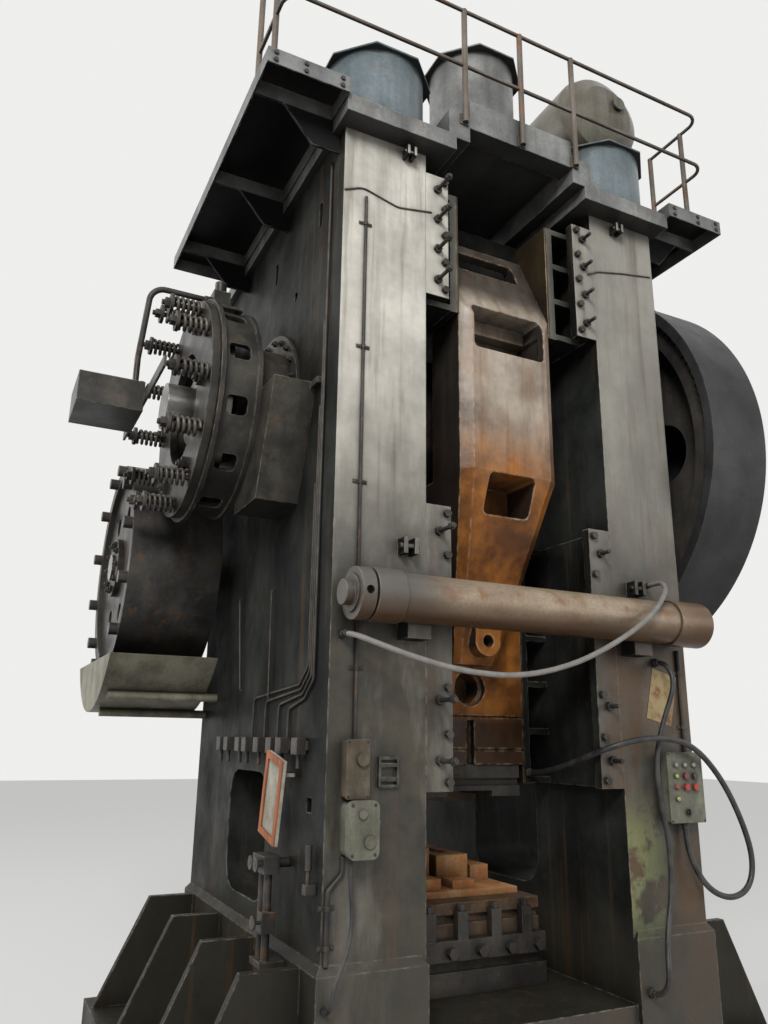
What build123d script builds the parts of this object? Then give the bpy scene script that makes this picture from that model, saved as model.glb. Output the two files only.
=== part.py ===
from build123d import *
from math import acos, atan2, cos, degrees, pi, radians, sin, sqrt, tan
import os

os.makedirs("parts", exist_ok=True)

# Hot forging crank press. X runs across the press, -Y is the operator's side, Z is up.
# The origin is the middle of the foundation face under the bed. All sizes in millimetres.

# Running and fitting clearances
FIT = 0.3
RUN = 0.5

# Frame casting
FRAME_WIDTH = 3180
FRAME_DEPTH = 3200
OPENING_WIDTH = 1722
BED_TOP = 705
FOOT_TOP = 1133
COLUMN_TOP = 7183
FOOT_REACH = 850
GUSSET_TOP = 420
FOOT_THICKNESS = 300
FOOT_GUSSET = 60
PLINTH_PROUD = 40
PLINTH_SLOPE = 50
CROWN_UNDERSIDE = 6350
CROWN_FRONT = -850
WINDOW_WIDTH = 966
WINDOW_SILL = 1330
WINDOW_TOP = 2243
WINDOW_ROUND = 220

# Crank train
SHAFT_Z = 5200
THROW = 175
JOURNAL_RADIUS = 320
ECCENTRIC_RADIUS = 530
ECCENTRIC_WIDTH = 900
SHAFT_OUT_LEFT = 930
SHAFT_OUT_RIGHT = 850
BEARING_BORE = 600
BEARING_FLANGE_RADIUS = 800
BEARING_FLANGE = 30
BIG_END_RADIUS = 720
BIG_END_WIDTH = 860
ROD_LENGTH = 1650
SHANK_TOP_HALF = 330
SHANK_LOW_HALF = 250
SHANK_THICKNESS = 400
SMALL_END_RADIUS = 300
SMALL_END_WIDTH = 520
PIN_RADIUS = 150
PIN_LENGTH = 560

# Slide
STROKE = 350
SLIDE_BOTTOM = 2310
SLIDE_BLOCK_TOP = 4150
SLIDE_BLOCK_WIDTH = 1040
SLIDE_BLOCK_DEPTH = 1600
TRUNK_WIDTH = 920
TRUNK_INSET = 96
TRUNK_REAR = -1000
TRUNK_TOP = 6850
ROOF_START = 5900
ROOF_SETBACK = 450
KINK_Z = 4560
NECK_FOOT_Y = -910
NECK_FOOT_Z = 3090
NECK_FOOT_HALF = 200
NECK_REAR = -790
TRUNK_WALL = 80
TRUNK_CHAMFER_X = 90
TRUNK_CHAMFER_Y = 70
POCKET_WIDTH = 580
POCKET_LENGTH = 1000
POCKET_FLOOR = 3040
SLIDE_HOLE_Z = 2912
SLIDE_HOLE_RADIUS = 145
KEYWAY_WIDTH = 70
KEYWAY_DEPTH = 60
KEYWAY_TOP = 2657

# Guides
GIB_OPENING = 1300
GIB_FLANGE = 80
GIB_PLATE = 60
LINER = 20
UPPER_GIB_LOW = 5905
UPPER_GIB_HIGH = 7022
LOWER_GIB_LOW = 2160
LOWER_GIB_HIGH = 4170

# Die space
BOLSTER_TOP = 1070
BOLSTER_WIDTH = 1200
BOLSTER_DEPTH = 1800
LOWER_HOLDER_TOP = 1312
LOWER_HOLDER_WIDTH = 1180
LOWER_HOLDER_DEPTH = 1660
UPPER_HOLDER_BOTTOM = 2066
UPPER_HOLDER_WIDTH = 960
UPPER_HOLDER_DEPTH = 1560
DIE_DEPTH = 620
DIE_TOP = 1640
UPPER_DIE_BOTTOM = 2000

# Top of the press
CAP_FRONT = 185
CAP_OVERHANG = 64
CAP_STEP_LOW = 672
CAP_STEP_HIGH = 540
CAP_STEP_1 = 7300
CAP_STEP_2 = 7445
CAP_TOP = 7330
CAP_BLOCK_GAP = 45
CAP_BLOCK_TOP = 7557
BRIDGE_TOP = 7720
TIE_INSET_X = 375
TIE_INSET_Y = 300
TIE_RADIUS = 150
NUT_RADIUS = 260
NUT_HEIGHT = 300
COVER_RADIUS = 430
COVER_HEIGHT = 620
COVER_WALL = 12
HAT_RADIUS = 500
TANK_INSET = 50
TANK_Z = 8895
TANK_RADIUS = 500
TANK_FRONT = -1260
TANK_REAR = 1260
BALANCE_Y = -980
BALANCE_RADIUS = 410
BALANCE_HEIGHT = 1180
PLATFORM_REACH = 669
PLATFORM_OVERHANG = 227
PLATFORM_INSET = 314
PLATFORM_LOW = 7300
PLATFORM_HIGH = 7438
RAIL_RADIUS = 17
POST_RADIUS = 25
RAIL_HEIGHT = 1177
RAIL_SPACING = 585
RAIL_INSET = 123

# Gear drive
MODULE = 30
GEAR_TEETH = 120
PINION_TEETH = 20
BACKLASH = 3
GEAR_FACE = 480
GEAR_GAP = 310
CLUTCH_GAP = 110
RECEIVING_OUT = 200
RECEIVING_RADIUS = 130
GUARD_RADIUS = 1924
GUARD_GAP = 236
GUARD_DEPTH = 655
GUARD_WALL = 8
DRUM_RADIUS = 1035
DRUM_OUT = 960
DRUM_WIDTH = 830
TRAY_RADIUS = 1410
TRAY_OUT = 1050
TRAY_GAP = 110
TRAY_WALL = 6
TRAY_TOP = 3185

# Brake
BRAKE_RADIUS = 930
BRAKE_FLANGE_RADIUS = 965
BRAKE_GAP = 345
BRAKE_DEPTH = 419
DISC_INSET = 174
DISC_THICKNESS = 50
BRAKE_RING = 66
SPRING_COUNT = 12
SPRING_CIRCLE = 850
SPRING_RADIUS = 74
SPRING_LENGTH = 240
STUD_RADIUS = 22
STUD_ANGLE = 30

# Front tie bolt
BOLT_RADIUS = 165
BOLT_OUT = 212
BOLT_Z = 3415
BOLT_END = 15

# Thin wires on the column fronts
WIRE_RADIUS = 6

# Operating panel on the right column, and its buttons and lamps from the panel's middle
PANEL_INSET = 195
PANEL_Z = 2170
PANEL_WIDTH = 340
PANEL_HEIGHT = 500
PANEL_DEPTH = 100
BUTTON_STEM = 14
BUTTONS = {
    "button_start": (-13, 83),
    "button_inch": (79, 83),
    "button_mode": (-13, 2),
    "button_stop": (79, 2),
    "selector_knob": (-6, -181),
}
LAMPS = ((-105, 165), (-13, 165), (79, 165), (-105, 83), (-105, 2), (-105, -83))

# Pivot of the starter box's side lever
LEVER_OUT = 76
LEVER_Z = 1990

# Boxes on the left column's front: distance in from its edge, middle height, width, height
SWITCH_INSET = 180
SWITCH_Z = 2313
SWITCH_WIDTH = 150
SWITCH_HEIGHT = 351
STARTER_INSET = 205
STARTER_Z = 1955
STARTER_WIDTH = 200
STARTER_HEIGHT = 330

# Air pipes low on the left wall
AIR_PIPE_OUT = 160
AIR_PIPE_TOP = 1740

# Oil distributor on the left wall
DISTRIBUTOR_TOP = 2500
DISTRIBUTOR_PORTS = (-88, -390, -690, -905)

# Lifting eyes of the column fronts: place across, height and size
EYES = (
    (-1033, 3812, 45),
    (1072, 3702, 45),
    (-1039, 7100, 32),
    (1135, 7080, 32),
)

# Values worked out from the driving dimensions
HALF_W = FRAME_WIDTH / 2
HALF_D = FRAME_DEPTH / 2
HALF_OPENING = OPENING_WIDTH / 2
COLUMN_T = HALF_W - HALF_OPENING
COLUMN_MID = (HALF_W + HALF_OPENING) / 2
TRUNK_FRONT = -HALF_D + TRUNK_INSET
CAP_OUTER = HALF_W + CAP_OVERHANG
TIE_X = HALF_W - TIE_INSET_X
TIE_Y = HALF_D - TIE_INSET_Y
CAP_BLOCK = TIE_X - COVER_RADIUS - CAP_BLOCK_GAP
TANK_X = HALF_W - TANK_INSET
PLATFORM_FRONT = -HALF_D - PLATFORM_OVERHANG
PLATFORM_REAR = HALF_D - PLATFORM_INSET
RAIL_REACH = CAP_OUTER + PLATFORM_REACH - RAIL_INSET
SHAFT_LEFT = -HALF_W - SHAFT_OUT_LEFT
SHAFT_RIGHT = HALF_W + SHAFT_OUT_RIGHT
BRAKE_RIGHT = -HALF_W - BRAKE_GAP
BRAKE_LEFT = BRAKE_RIGHT - BRAKE_DEPTH
DISC_LEFT = BRAKE_LEFT + DISC_INSET
CLUTCH_LEFT = HALF_W + CLUTCH_GAP
GEAR_LEFT = HALF_W + GEAR_GAP
GUARD_LEFT = HALF_W + GUARD_GAP
GUARD_RIGHT = GUARD_LEFT + GUARD_DEPTH
DRUM_LEFT = -HALF_W - DRUM_OUT
TRAY_LEFT = -HALF_W - TRAY_OUT
RECEIVING_Y = HALF_D + RECEIVING_OUT
BOLT_Y = -HALF_D - BOLT_OUT
BOLT_HALF = HALF_W + BOLT_END
PANEL_X = HALF_W - PANEL_INSET
SWITCH_X = -HALF_W + SWITCH_INSET
STARTER_X = -HALF_W + STARTER_INSET
LEVER_Y = -HALF_D - LEVER_OUT
AIR_PIPE_X = -HALF_W - AIR_PIPE_OUT
GEAR_PITCH = MODULE * GEAR_TEETH / 2
PINION_PITCH = MODULE * PINION_TEETH / 2
CENTRE_DISTANCE = GEAR_PITCH + PINION_PITCH
RECEIVING_Z = SHAFT_Z - sqrt(CENTRE_DISTANCE**2 - RECEIVING_Y**2)
CRANK_Z = SHAFT_Z + THROW
STUD_TIP = BRAKE_LEFT - SPRING_LENGTH - 90
WRIST_Z = CRANK_Z - ROD_LENGTH
# Guide zones: bottom, top, half width between the faces, front and rear
GUIDES = {
    "upper": (UPPER_GIB_LOW, UPPER_GIB_HIGH, TRUNK_WIDTH / 2, TRUNK_FRONT + 60, TRUNK_REAR),
    "lower": (LOWER_GIB_LOW, LOWER_GIB_HIGH, SLIDE_BLOCK_WIDTH / 2, -780, 780),
}


def save(builder, name):
    """Name a finished piece and write it to its own file."""
    builder.part.label = name
    export_step(builder.part, f"parts/{name}.step")


def half_tooth(teeth, radius):
    """Half the angle of a tooth at a radius, on involute flanks of 20 degrees."""
    pitch = MODULE * teeth / 2
    base = pitch * cos(radians(20))
    flank = acos(min(1, base / radius))
    rise = (tan(radians(20)) - radians(20)) - (tan(flank) - flank)
    return degrees((pi / 2 - BACKLASH / MODULE) / teeth + rise)


def gear_outline(teeth, first_angle, centre_y, centre_z):
    """Corner points of a ring of teeth round a centre, the first tooth at first_angle."""
    pitch = MODULE * teeth / 2
    radii = [pitch - MODULE * 1.15, pitch, pitch + MODULE * 0.9]
    if teeth > 60:
        radii.pop(1)
    corners = [(radius, -half_tooth(teeth, radius)) for radius in radii]
    corners += [(radius, -offset) for radius, offset in reversed(corners)]
    points = []
    for k in range(teeth):
        for radius, offset in corners:
            a = radians(first_angle + k * 360 / teeth + offset)
            points.append((centre_y + radius * cos(a), centre_z + radius * sin(a)))
    return points


def bend_radii(points):
    """The largest arc at each corner of a free cord's route, from its shorter run."""
    radii = []
    for a, b, c in zip(points, points[1:], points[2:]):
        run_in = Vector(*b) - Vector(*a)
        run_out = Vector(*c) - Vector(*b)
        turn = radians(run_in.get_angle(run_out))
        radii.append(0.45 * min(run_in.length, run_out.length) / tan(turn / 2))
    return radii


def tube(points, radius, radii):
    """A round bar along straight runs joined by tangent arcs."""
    with BuildPart() as bar:
        with BuildLine() as route:
            FilletPolyline(*points, radius=radii)
        with BuildSketch(Plane(origin=route.line @ 0, z_dir=route.line % 0)):
            Circle(radius)
        sweep()
    return bar.part


def bar(points, radius):
    """A straight round bar between two points."""
    start = Vector(*points[0])
    run = Vector(*points[1]) - start
    with BuildPart() as piece:
        with BuildSketch(Plane(origin=start, z_dir=run)):
            Circle(radius)
        extrude(amount=run.length)
    return piece.part


def cord(name, points, radius):
    """A free hose or cable, with its length and radii printed."""
    radii = bend_radii(points)
    with BuildPart() as hose:
        add(tube(points, radius, radii))
    length = hose.part.volume / (pi * radius**2)
    print(f"{name}: length {length:.0f}, radii {min(radii):.0f} to {max(radii):.0f}")
    save(hose, name)


# Frame casting: bed, columns, crown, feet, bearing bores, side windows and tie rod holes
with BuildPart() as frame_casting:
    with BuildSketch(Plane.XZ):
        with Locations((0, COLUMN_TOP / 2)):
            Rectangle(FRAME_WIDTH, COLUMN_TOP)
        with Locations((0, (BED_TOP + COLUMN_TOP) / 2)):
            Rectangle(OPENING_WIDTH, COLUMN_TOP - BED_TOP, mode=Mode.SUBTRACT)
    extrude(amount=HALF_D, both=True)
    with Locations((0, (CROWN_FRONT + HALF_D) / 2, (CROWN_UNDERSIDE + COLUMN_TOP) / 2)):
        Box(OPENING_WIDTH, HALF_D - CROWN_FRONT, COLUMN_TOP - CROWN_UNDERSIDE)
    with BuildSketch(Plane.XY):
        Rectangle(FRAME_WIDTH + 2 * PLINTH_PROUD, FRAME_DEPTH + 2 * PLINTH_PROUD)
        Rectangle(OPENING_WIDTH, FRAME_DEPTH + 4 * PLINTH_PROUD, mode=Mode.SUBTRACT)
    extrude(amount=FOOT_TOP)
    with BuildSketch(Plane.XY.offset(FOOT_TOP)):
        Rectangle(FRAME_WIDTH + 2 * PLINTH_PROUD, FRAME_DEPTH + 2 * PLINTH_PROUD)
        Rectangle(OPENING_WIDTH, FRAME_DEPTH + 4 * PLINTH_PROUD, mode=Mode.SUBTRACT)
    extrude(amount=PLINTH_SLOPE, taper=degrees(atan2(PLINTH_PROUD, PLINTH_SLOPE)))
    with BuildSketch(Plane.XY):
        Rectangle(FRAME_WIDTH + 2 * FOOT_REACH, FRAME_DEPTH + 2 * PLINTH_PROUD)
    extrude(amount=FOOT_THICKNESS)
    for gusset_y in (-1350, -450, 450, 1350):
        with BuildSketch(Plane.XZ.offset(-gusset_y)):
            for side in (-1, 1):
                with BuildLine():
                    Polyline(
                        (side * HALF_W, FOOT_THICKNESS),
                        (side * (HALF_W + FOOT_REACH - 30), FOOT_THICKNESS),
                        (side * (HALF_W + GUSSET_TOP), FOOT_TOP),
                        (side * HALF_W, FOOT_TOP),
                        close=True,
                    )
                make_face()
        extrude(amount=FOOT_GUSSET / 2, both=True)
    with BuildSketch(Plane.YZ):
        with Locations((0, SHAFT_Z)):
            Circle(BEARING_BORE)
    extrude(amount=HALF_W + PLINTH_PROUD, both=True, mode=Mode.SUBTRACT)
    with BuildSketch(Plane.YZ):
        with Locations((0, (WINDOW_SILL + WINDOW_TOP) / 2)):
            RectangleRounded(WINDOW_WIDTH, WINDOW_TOP - WINDOW_SILL, WINDOW_ROUND)
    extrude(amount=HALF_W + PLINTH_PROUD, both=True, mode=Mode.SUBTRACT)
    with BuildSketch(Plane.XY):
        with GridLocations(2 * TIE_X, 2 * TIE_Y, 2, 2):
            Circle(TIE_RADIUS + 10)
    extrude(amount=COLUMN_TOP, mode=Mode.SUBTRACT)
    with BuildSketch(Plane.XY):
        with GridLocations(2 * TIE_X, 2 * TIE_Y, 2, 2):
            Circle(NUT_RADIUS + 40)
    extrude(amount=NUT_HEIGHT + 60, mode=Mode.SUBTRACT)
    # Core holes of the side walls, as the left wall shows them
    for wall in (-1, 1):
        with BuildSketch(Plane.YZ.offset(wall * HALF_W)):
            with Locations((-25, 6716), (-1126, 6672)):
                SlotOverall(230, 70, rotation=90)
            with Locations((-598, 6185)):
                Circle(40)
            with Locations((-1332, 2076)):
                Rectangle(90, 90)
        extrude(amount=-wall * 120, mode=Mode.SUBTRACT)
    # Saddles of the front tie bolt, lifting eyes and the ribbed pad on the column fronts
    for side in (-1, 1):
        with Locations((side * (HALF_OPENING + 139), -HALF_D - 80, BOLT_Z - 60)):
            Box(180, 160, 400)
    with BuildSketch(Plane.YZ):
        with Locations((BOLT_Y, BOLT_Z)):
            Circle(BOLT_RADIUS + FIT)
    extrude(amount=HALF_W, both=True, mode=Mode.SUBTRACT)
    for eye_x, eye_z, size in EYES:
        with BuildSketch(Plane.YZ.offset(eye_x - size * 1.3)):
            with Locations((-HALF_D - 50, eye_z)):
                Rectangle(100, size * 2.6)
        extrude(amount=size * 2.6)
        with BuildSketch(Plane.YZ.offset(eye_x - size * 0.6)):
            with Locations((-HALF_D - 60, eye_z)):
                Rectangle(120, size * 2.6)
        extrude(amount=size * 1.2, mode=Mode.SUBTRACT)
        with BuildSketch(Plane.YZ.offset(eye_x - size * 1.7)):
            with Locations((-HALF_D - 66, eye_z)):
                Circle(size * 0.4)
        extrude(amount=size * 3.4)
    with BuildSketch(Plane.XZ.offset(HALF_D)):
        with Locations((-HALF_W + 438, 2290)):
            Rectangle(150, 190)
            Rectangle(116, 156, mode=Mode.SUBTRACT)
            for rib_z in (-45, 45):
                with Locations((0, rib_z)):
                    Rectangle(120, 24)
    extrude(amount=22)
save(frame_casting, "frame_casting")

# Crown cap: a stepped plate over each column, joined by a beam at the front and the rear
with BuildPart() as crown_cap:
    with BuildSketch(Plane.XZ):
        for side in (-1, 1):
            with BuildLine():
                Polyline(
                    (side * CAP_OUTER, COLUMN_TOP),
                    (side * CAP_STEP_LOW, COLUMN_TOP),
                    (side * CAP_STEP_LOW, CAP_STEP_1),
                    (side * CAP_STEP_HIGH, CAP_STEP_1),
                    (side * CAP_STEP_HIGH, CAP_BLOCK_TOP),
                    (side * CAP_BLOCK, CAP_BLOCK_TOP),
                    (side * CAP_BLOCK, CAP_TOP),
                    (side * CAP_OUTER, CAP_TOP),
                    close=True,
                )
            make_face()
    extrude(amount=HALF_D + CAP_FRONT, both=True)
    for side in (-1, 1):
        with Locations((0, side * (HALF_D + CAP_FRONT / 2), (CAP_STEP_2 + BRIDGE_TOP) / 2)):
            Box(2 * CAP_STEP_HIGH, CAP_FRONT, BRIDGE_TOP - CAP_STEP_2)
    with BuildSketch(Plane.XY.offset(COLUMN_TOP)):
        with GridLocations(2 * TIE_X, 2 * TIE_Y, 2, 2):
            Circle(TIE_RADIUS + 10)
    extrude(amount=CAP_TOP - COLUMN_TOP, mode=Mode.SUBTRACT)
save(crown_cap, "crown_cap")

# Tie rods, their nuts, and the covers with octagonal hats
with BuildPart() as tie_rods:
    with BuildSketch(Plane.XY.offset(40)):
        with GridLocations(2 * TIE_X, 2 * TIE_Y, 2, 2):
            Circle(TIE_RADIUS)
    extrude(amount=CAP_TOP + NUT_HEIGHT + 60 - 40)
save(tie_rods, "tie_rods")

with BuildPart() as tie_rod_nuts:
    for base in (60, CAP_TOP):
        with BuildSketch(Plane.XY.offset(base)):
            with GridLocations(2 * TIE_X, 2 * TIE_Y, 2, 2):
                RegularPolygon(NUT_RADIUS, 6)
                Circle(TIE_RADIUS + FIT, mode=Mode.SUBTRACT)
        extrude(amount=NUT_HEIGHT)
save(tie_rod_nuts, "tie_rod_nuts")

with BuildPart() as nut_covers:
    for base, height, radius, shape in (
        (CAP_TOP, COVER_HEIGHT, COVER_RADIUS, "shell"),
        (CAP_TOP + COVER_HEIGHT, 16, HAT_RADIUS, "hat"),
        (CAP_TOP + COVER_HEIGHT + 16, 60, HAT_RADIUS - 110, "hat"),
    ):
        with BuildSketch(Plane.XY.offset(base)):
            with GridLocations(2 * TIE_X, 2 * TIE_Y, 2, 2):
                if shape == "shell":
                    Circle(radius)
                    Circle(radius - COVER_WALL, mode=Mode.SUBTRACT)
                else:
                    RegularPolygon(radius, 8, rotation=22.5)
        extrude(amount=height, taper=40 if height == 60 else 0)
save(nut_covers, "nut_covers")

# Side platforms on gussets
with BuildPart() as platforms:
    for side, gussets in ((-1, (-1480, -300, 900)), (1, (-1480, 1240))):
        edge = side * (CAP_OUTER + PLATFORM_REACH)
        mid_x = side * (CAP_OUTER + PLATFORM_REACH / 2)
        mid_y = (PLATFORM_FRONT + PLATFORM_REAR) / 2
        length = PLATFORM_REAR - PLATFORM_FRONT
        with BuildSketch(Plane.XY.offset(PLATFORM_LOW)):
            with Locations((mid_x, mid_y)):
                Rectangle(PLATFORM_REACH, length)
        extrude(amount=PLATFORM_HIGH - PLATFORM_LOW)
        with BuildSketch(Plane.XY.offset(PLATFORM_LOW)):
            with Locations((mid_x, mid_y)):
                Rectangle(PLATFORM_REACH - 24, length - 24)
        extrude(amount=PLATFORM_HIGH - PLATFORM_LOW - 10, mode=Mode.SUBTRACT)
        for gusset_y in gussets:
            with BuildSketch(Plane.XZ.offset(-gusset_y)):
                with BuildLine():
                    Polyline(
                        (side * HALF_W, PLATFORM_LOW - 290),
                        (side * HALF_W, COLUMN_TOP),
                        (side * CAP_OUTER, COLUMN_TOP),
                        (side * CAP_OUTER, PLATFORM_HIGH - 10),
                        (edge - side * 12, PLATFORM_HIGH - 10),
                        (edge - side * 12, PLATFORM_LOW),
                        (side * (HALF_W + 485), PLATFORM_LOW),
                        (side * (HALF_W + 235), PLATFORM_LOW - 290),
                        close=True,
                    )
                make_face()
            extrude(amount=10, both=True)
save(platforms, "platforms")

# Air receiver on saddles over the right column, and the balance cylinder over the slide
with BuildPart() as air_receiver:
    with BuildSketch(Plane.YZ.offset(TANK_X)):
        with BuildLine():
            Polyline(
                (TANK_FRONT, TANK_Z),
                (TANK_FRONT + 30, TANK_Z + 0.62 * TANK_RADIUS),
                (TANK_FRONT + 110, TANK_Z + 0.9 * TANK_RADIUS),
                (TANK_FRONT + 210, TANK_Z + TANK_RADIUS),
                (TANK_REAR - 210, TANK_Z + TANK_RADIUS),
                (TANK_REAR - 110, TANK_Z + 0.9 * TANK_RADIUS),
                (TANK_REAR - 30, TANK_Z + 0.62 * TANK_RADIUS),
                (TANK_REAR, TANK_Z),
                close=True,
            )
        make_face()
    revolve(axis=Axis((TANK_X, 0, TANK_Z), (0, 1, 0)))
    with BuildSketch(Plane.XZ.offset(-TANK_FRONT - 40)):
        with Locations((TANK_X + 120, TANK_Z + 120)):
            Circle(75)
    extrude(amount=70)
    for saddle_y in (-480, 480):
        with BuildSketch(Plane.XZ.offset(-saddle_y)):
            with Locations((TANK_X - 50, (CAP_TOP + TANK_Z) / 2)):
                Rectangle(300, TANK_Z - CAP_TOP)
        extrude(amount=30, both=True)
save(air_receiver, "air_receiver")

with BuildPart() as balance_cylinder:
    with Locations((0, -980, CAP_BLOCK_TOP - 20)):
        Box(2 * CAP_STEP_HIGH, 1230, 40)
    for base, radius, height in (
        (CAP_BLOCK_TOP, 470, 50),
        (CAP_BLOCK_TOP + 50, BALANCE_RADIUS, BALANCE_HEIGHT),
    ):
        with BuildSketch(Plane.XY.offset(base)):
            with Locations((0, BALANCE_Y)):
                Circle(radius)
        extrude(amount=height)
    with BuildSketch(Plane.XY.offset(CAP_BLOCK_TOP + 50 + BALANCE_HEIGHT)):
        with Locations((0, BALANCE_Y)):
            RegularPolygon(HAT_RADIUS, 8, rotation=22.5)
    extrude(amount=16)
    with BuildSketch(Plane.XY.offset(CAP_BLOCK_TOP + 66 + BALANCE_HEIGHT)):
        with Locations((0, BALANCE_Y)):
            RegularPolygon(HAT_RADIUS - 110, 8, rotation=22.5)
    extrude(amount=60, taper=40)
save(balance_cylinder, "balance_cylinder")

# Guard rail along the front of the top deck: two rails with returned ends, on posts
with BuildPart() as railing:
    beam_face = -HALF_D - CAP_FRONT
    rail_y = beam_face - 30
    top = PLATFORM_HIGH + RAIL_HEIGHT
    for rail_z in (top, top - RAIL_SPACING):
        add(
            tube(
                [
                    (-RAIL_REACH, rail_y + 700, rail_z),
                    (-RAIL_REACH, rail_y, rail_z),
                    (RAIL_REACH, rail_y, rail_z),
                    (RAIL_REACH, rail_y + 700, rail_z),
                ],
                RAIL_RADIUS,
                140,
            )
        )
    for post_x in (-600, -20, 558):
        with Locations((post_x, beam_face - 6, CAP_BLOCK_TOP - 58)):
            Box(80, 12, 100)
        with BuildSketch(Plane.XY.offset(CAP_BLOCK_TOP - 100)):
            with Locations((post_x, rail_y)):
                Circle(POST_RADIUS)
        extrude(amount=top + 8 - CAP_BLOCK_TOP + 100)
    for post_x in (-RAIL_REACH, RAIL_REACH):
        with BuildSketch(Plane.XY.offset(PLATFORM_HIGH)):
            with Locations((post_x, rail_y + 255), (post_x, rail_y + 680)):
                Circle(POST_RADIUS)
        extrude(amount=top + 8 - PLATFORM_HIGH)
save(railing, "railing")

# Gib carriers: a plate on the column, a front flange, a guide plate and ribs between them
for side, hand in ((-1, "left"), (1, "right")):
    for level, (low, high, face, front, rear) in GUIDES.items():
        ribs = 4 if level == "upper" else 6
        guide_in = face + RUN + LINER
        with BuildPart() as gib:
            height = high - low
            mid_z = (low + high) / 2
            with Locations((side * (HALF_OPENING - GIB_PLATE / 2), (rear - HALF_D) / 2, mid_z)):
                Box(GIB_PLATE, rear + HALF_D, height)
            with Locations(
                (side * (HALF_OPENING + GIB_OPENING / 2) / 2, -HALF_D + GIB_FLANGE / 2, mid_z)
            ):
                Box(HALF_OPENING - GIB_OPENING / 2, GIB_FLANGE, height)
            with Locations((side * (guide_in + GIB_PLATE / 2), (front + rear) / 2, mid_z)):
                Box(GIB_PLATE, rear - front, height)
            rib_in = guide_in + GIB_PLATE
            rib_out = HALF_OPENING - GIB_PLATE
            for k in range(ribs):
                rib_z = low + 30 + k * (height - 60) / (ribs - 1)
                with Locations((side * (rib_in + rib_out) / 2, (front + rear) / 2, rib_z)):
                    Box(rib_out - rib_in, rear - front, 50)
        save(gib, f"{level}_gib_{hand}")

# Bronze liners on the guide plates
with BuildPart() as guide_liners:
    for low, high, face, front, rear in GUIDES.values():
        for side in (-1, 1):
            with Locations(
                (side * (face + RUN + LINER / 2), (front + rear) / 2, (low + high) / 2)
            ):
                Box(LINER, rear - front, high - low)
save(guide_liners, "guide_liners")

# Long adjusting studs and short bolts of the front flanges
FLANGE_X = GIB_OPENING / 2 + 105
with BuildPart() as gib_adjusters:
    for low, high, count in (
        (UPPER_GIB_LOW, UPPER_GIB_HIGH, 4),
        (LOWER_GIB_LOW, LOWER_GIB_HIGH, 5),
    ):
        for k in range(count):
            stud_z = low + (k + 0.5) * (high - low) / count
            if abs(stud_z - BOLT_Z) < 260:
                continue
            for stud_x, reach in ((-FLANGE_X, 210), (FLANGE_X, 120)):
                with Locations((stud_x, -HALF_D, stud_z)):
                    Cylinder(
                        16, reach, rotation=(90, 0, 0), align=(Align.CENTER, Align.CENTER, Align.MIN)
                    )
save(gib_adjusters, "gib_adjusters")

with BuildPart() as gib_bolts:
    for low, high, count in (
        (UPPER_GIB_LOW, UPPER_GIB_HIGH, 5),
        (LOWER_GIB_LOW, LOWER_GIB_HIGH, 7),
    ):
        for k in range(count):
            bolt_z = low + 60 + k * (high - low - 120) / (count - 1)
            if abs(bolt_z - BOLT_Z) < 260:
                continue
            with BuildSketch(Plane.XZ.offset(HALF_D)):
                with Locations((-FLANGE_X + 65, bolt_z), (FLANGE_X - 65, bolt_z)):
                    RegularPolygon(30, 6)
            extrude(amount=38)
save(gib_bolts, "gib_bolts")

# Front tie bolt: a stepped bar held in saddles across the column fronts, with end nuts
with BuildPart() as front_tie_bolt:
    with BuildSketch(Plane(origin=(0, BOLT_Y, BOLT_Z), x_dir=(1, 0, 0), z_dir=(0, -1, 0))):
        with BuildLine():
            Polyline(
                (-BOLT_HALF, 0),
                (-BOLT_HALF, 85),
                (-BOLT_HALF + 60, 85),
                (-BOLT_HALF + 60, 125),
                (-BOLT_HALF + 400, 125),
                (-BOLT_HALF + 400, BOLT_RADIUS),
                (BOLT_HALF - 400, BOLT_RADIUS),
                (BOLT_HALF - 400, 125),
                (BOLT_HALF - 60, 125),
                (BOLT_HALF - 60, 85),
                (BOLT_HALF, 85),
                (BOLT_HALF, 0),
                close=True,
            )
        make_face()
    revolve(axis=Axis((0, BOLT_Y, BOLT_Z), (1, 0, 0)))
save(front_tie_bolt, "front_tie_bolt")

with BuildPart() as front_tie_nuts:
    for left, right, radius in (
        (-BOLT_HALF + 75, -BOLT_HALF + 175, 175),
        (-BOLT_HALF + 190, -BOLT_HALF + 400, 181),
        (BOLT_HALF - 400, BOLT_HALF - 75, 181),
    ):
        with BuildSketch(Plane.YZ.offset(left)):
            with Locations((BOLT_Y, BOLT_Z)):
                Circle(radius)
                Circle(125 + FIT, mode=Mode.SUBTRACT)
        extrude(amount=right - left)
    with BuildSketch(Plane.XZ.offset(-BOLT_Y)):
        with Locations((-BOLT_HALF + 125, BOLT_Z)):
            Circle(28)
    extrude(amount=300, mode=Mode.SUBTRACT)
save(front_tie_nuts, "front_tie_nuts")

# Main bearings: a bushed sleeve in each column with its flange on the outer face
with BuildPart() as main_bearings:
    for side in (-1, 1):
        for start, length, radius in (
            (HALF_OPENING, COLUMN_T + BEARING_FLANGE, BEARING_BORE),
            (HALF_W, BEARING_FLANGE, BEARING_FLANGE_RADIUS),
        ):
            with BuildSketch(Plane.YZ.offset(side * start)):
                with Locations((0, SHAFT_Z)):
                    Circle(radius)
            extrude(amount=side * length)
    with BuildSketch(Plane.YZ):
        with Locations((0, SHAFT_Z)):
            Circle(JOURNAL_RADIUS + FIT)
    extrude(amount=HALF_W + 100, both=True, mode=Mode.SUBTRACT)
save(main_bearings, "main_bearings")

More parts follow.
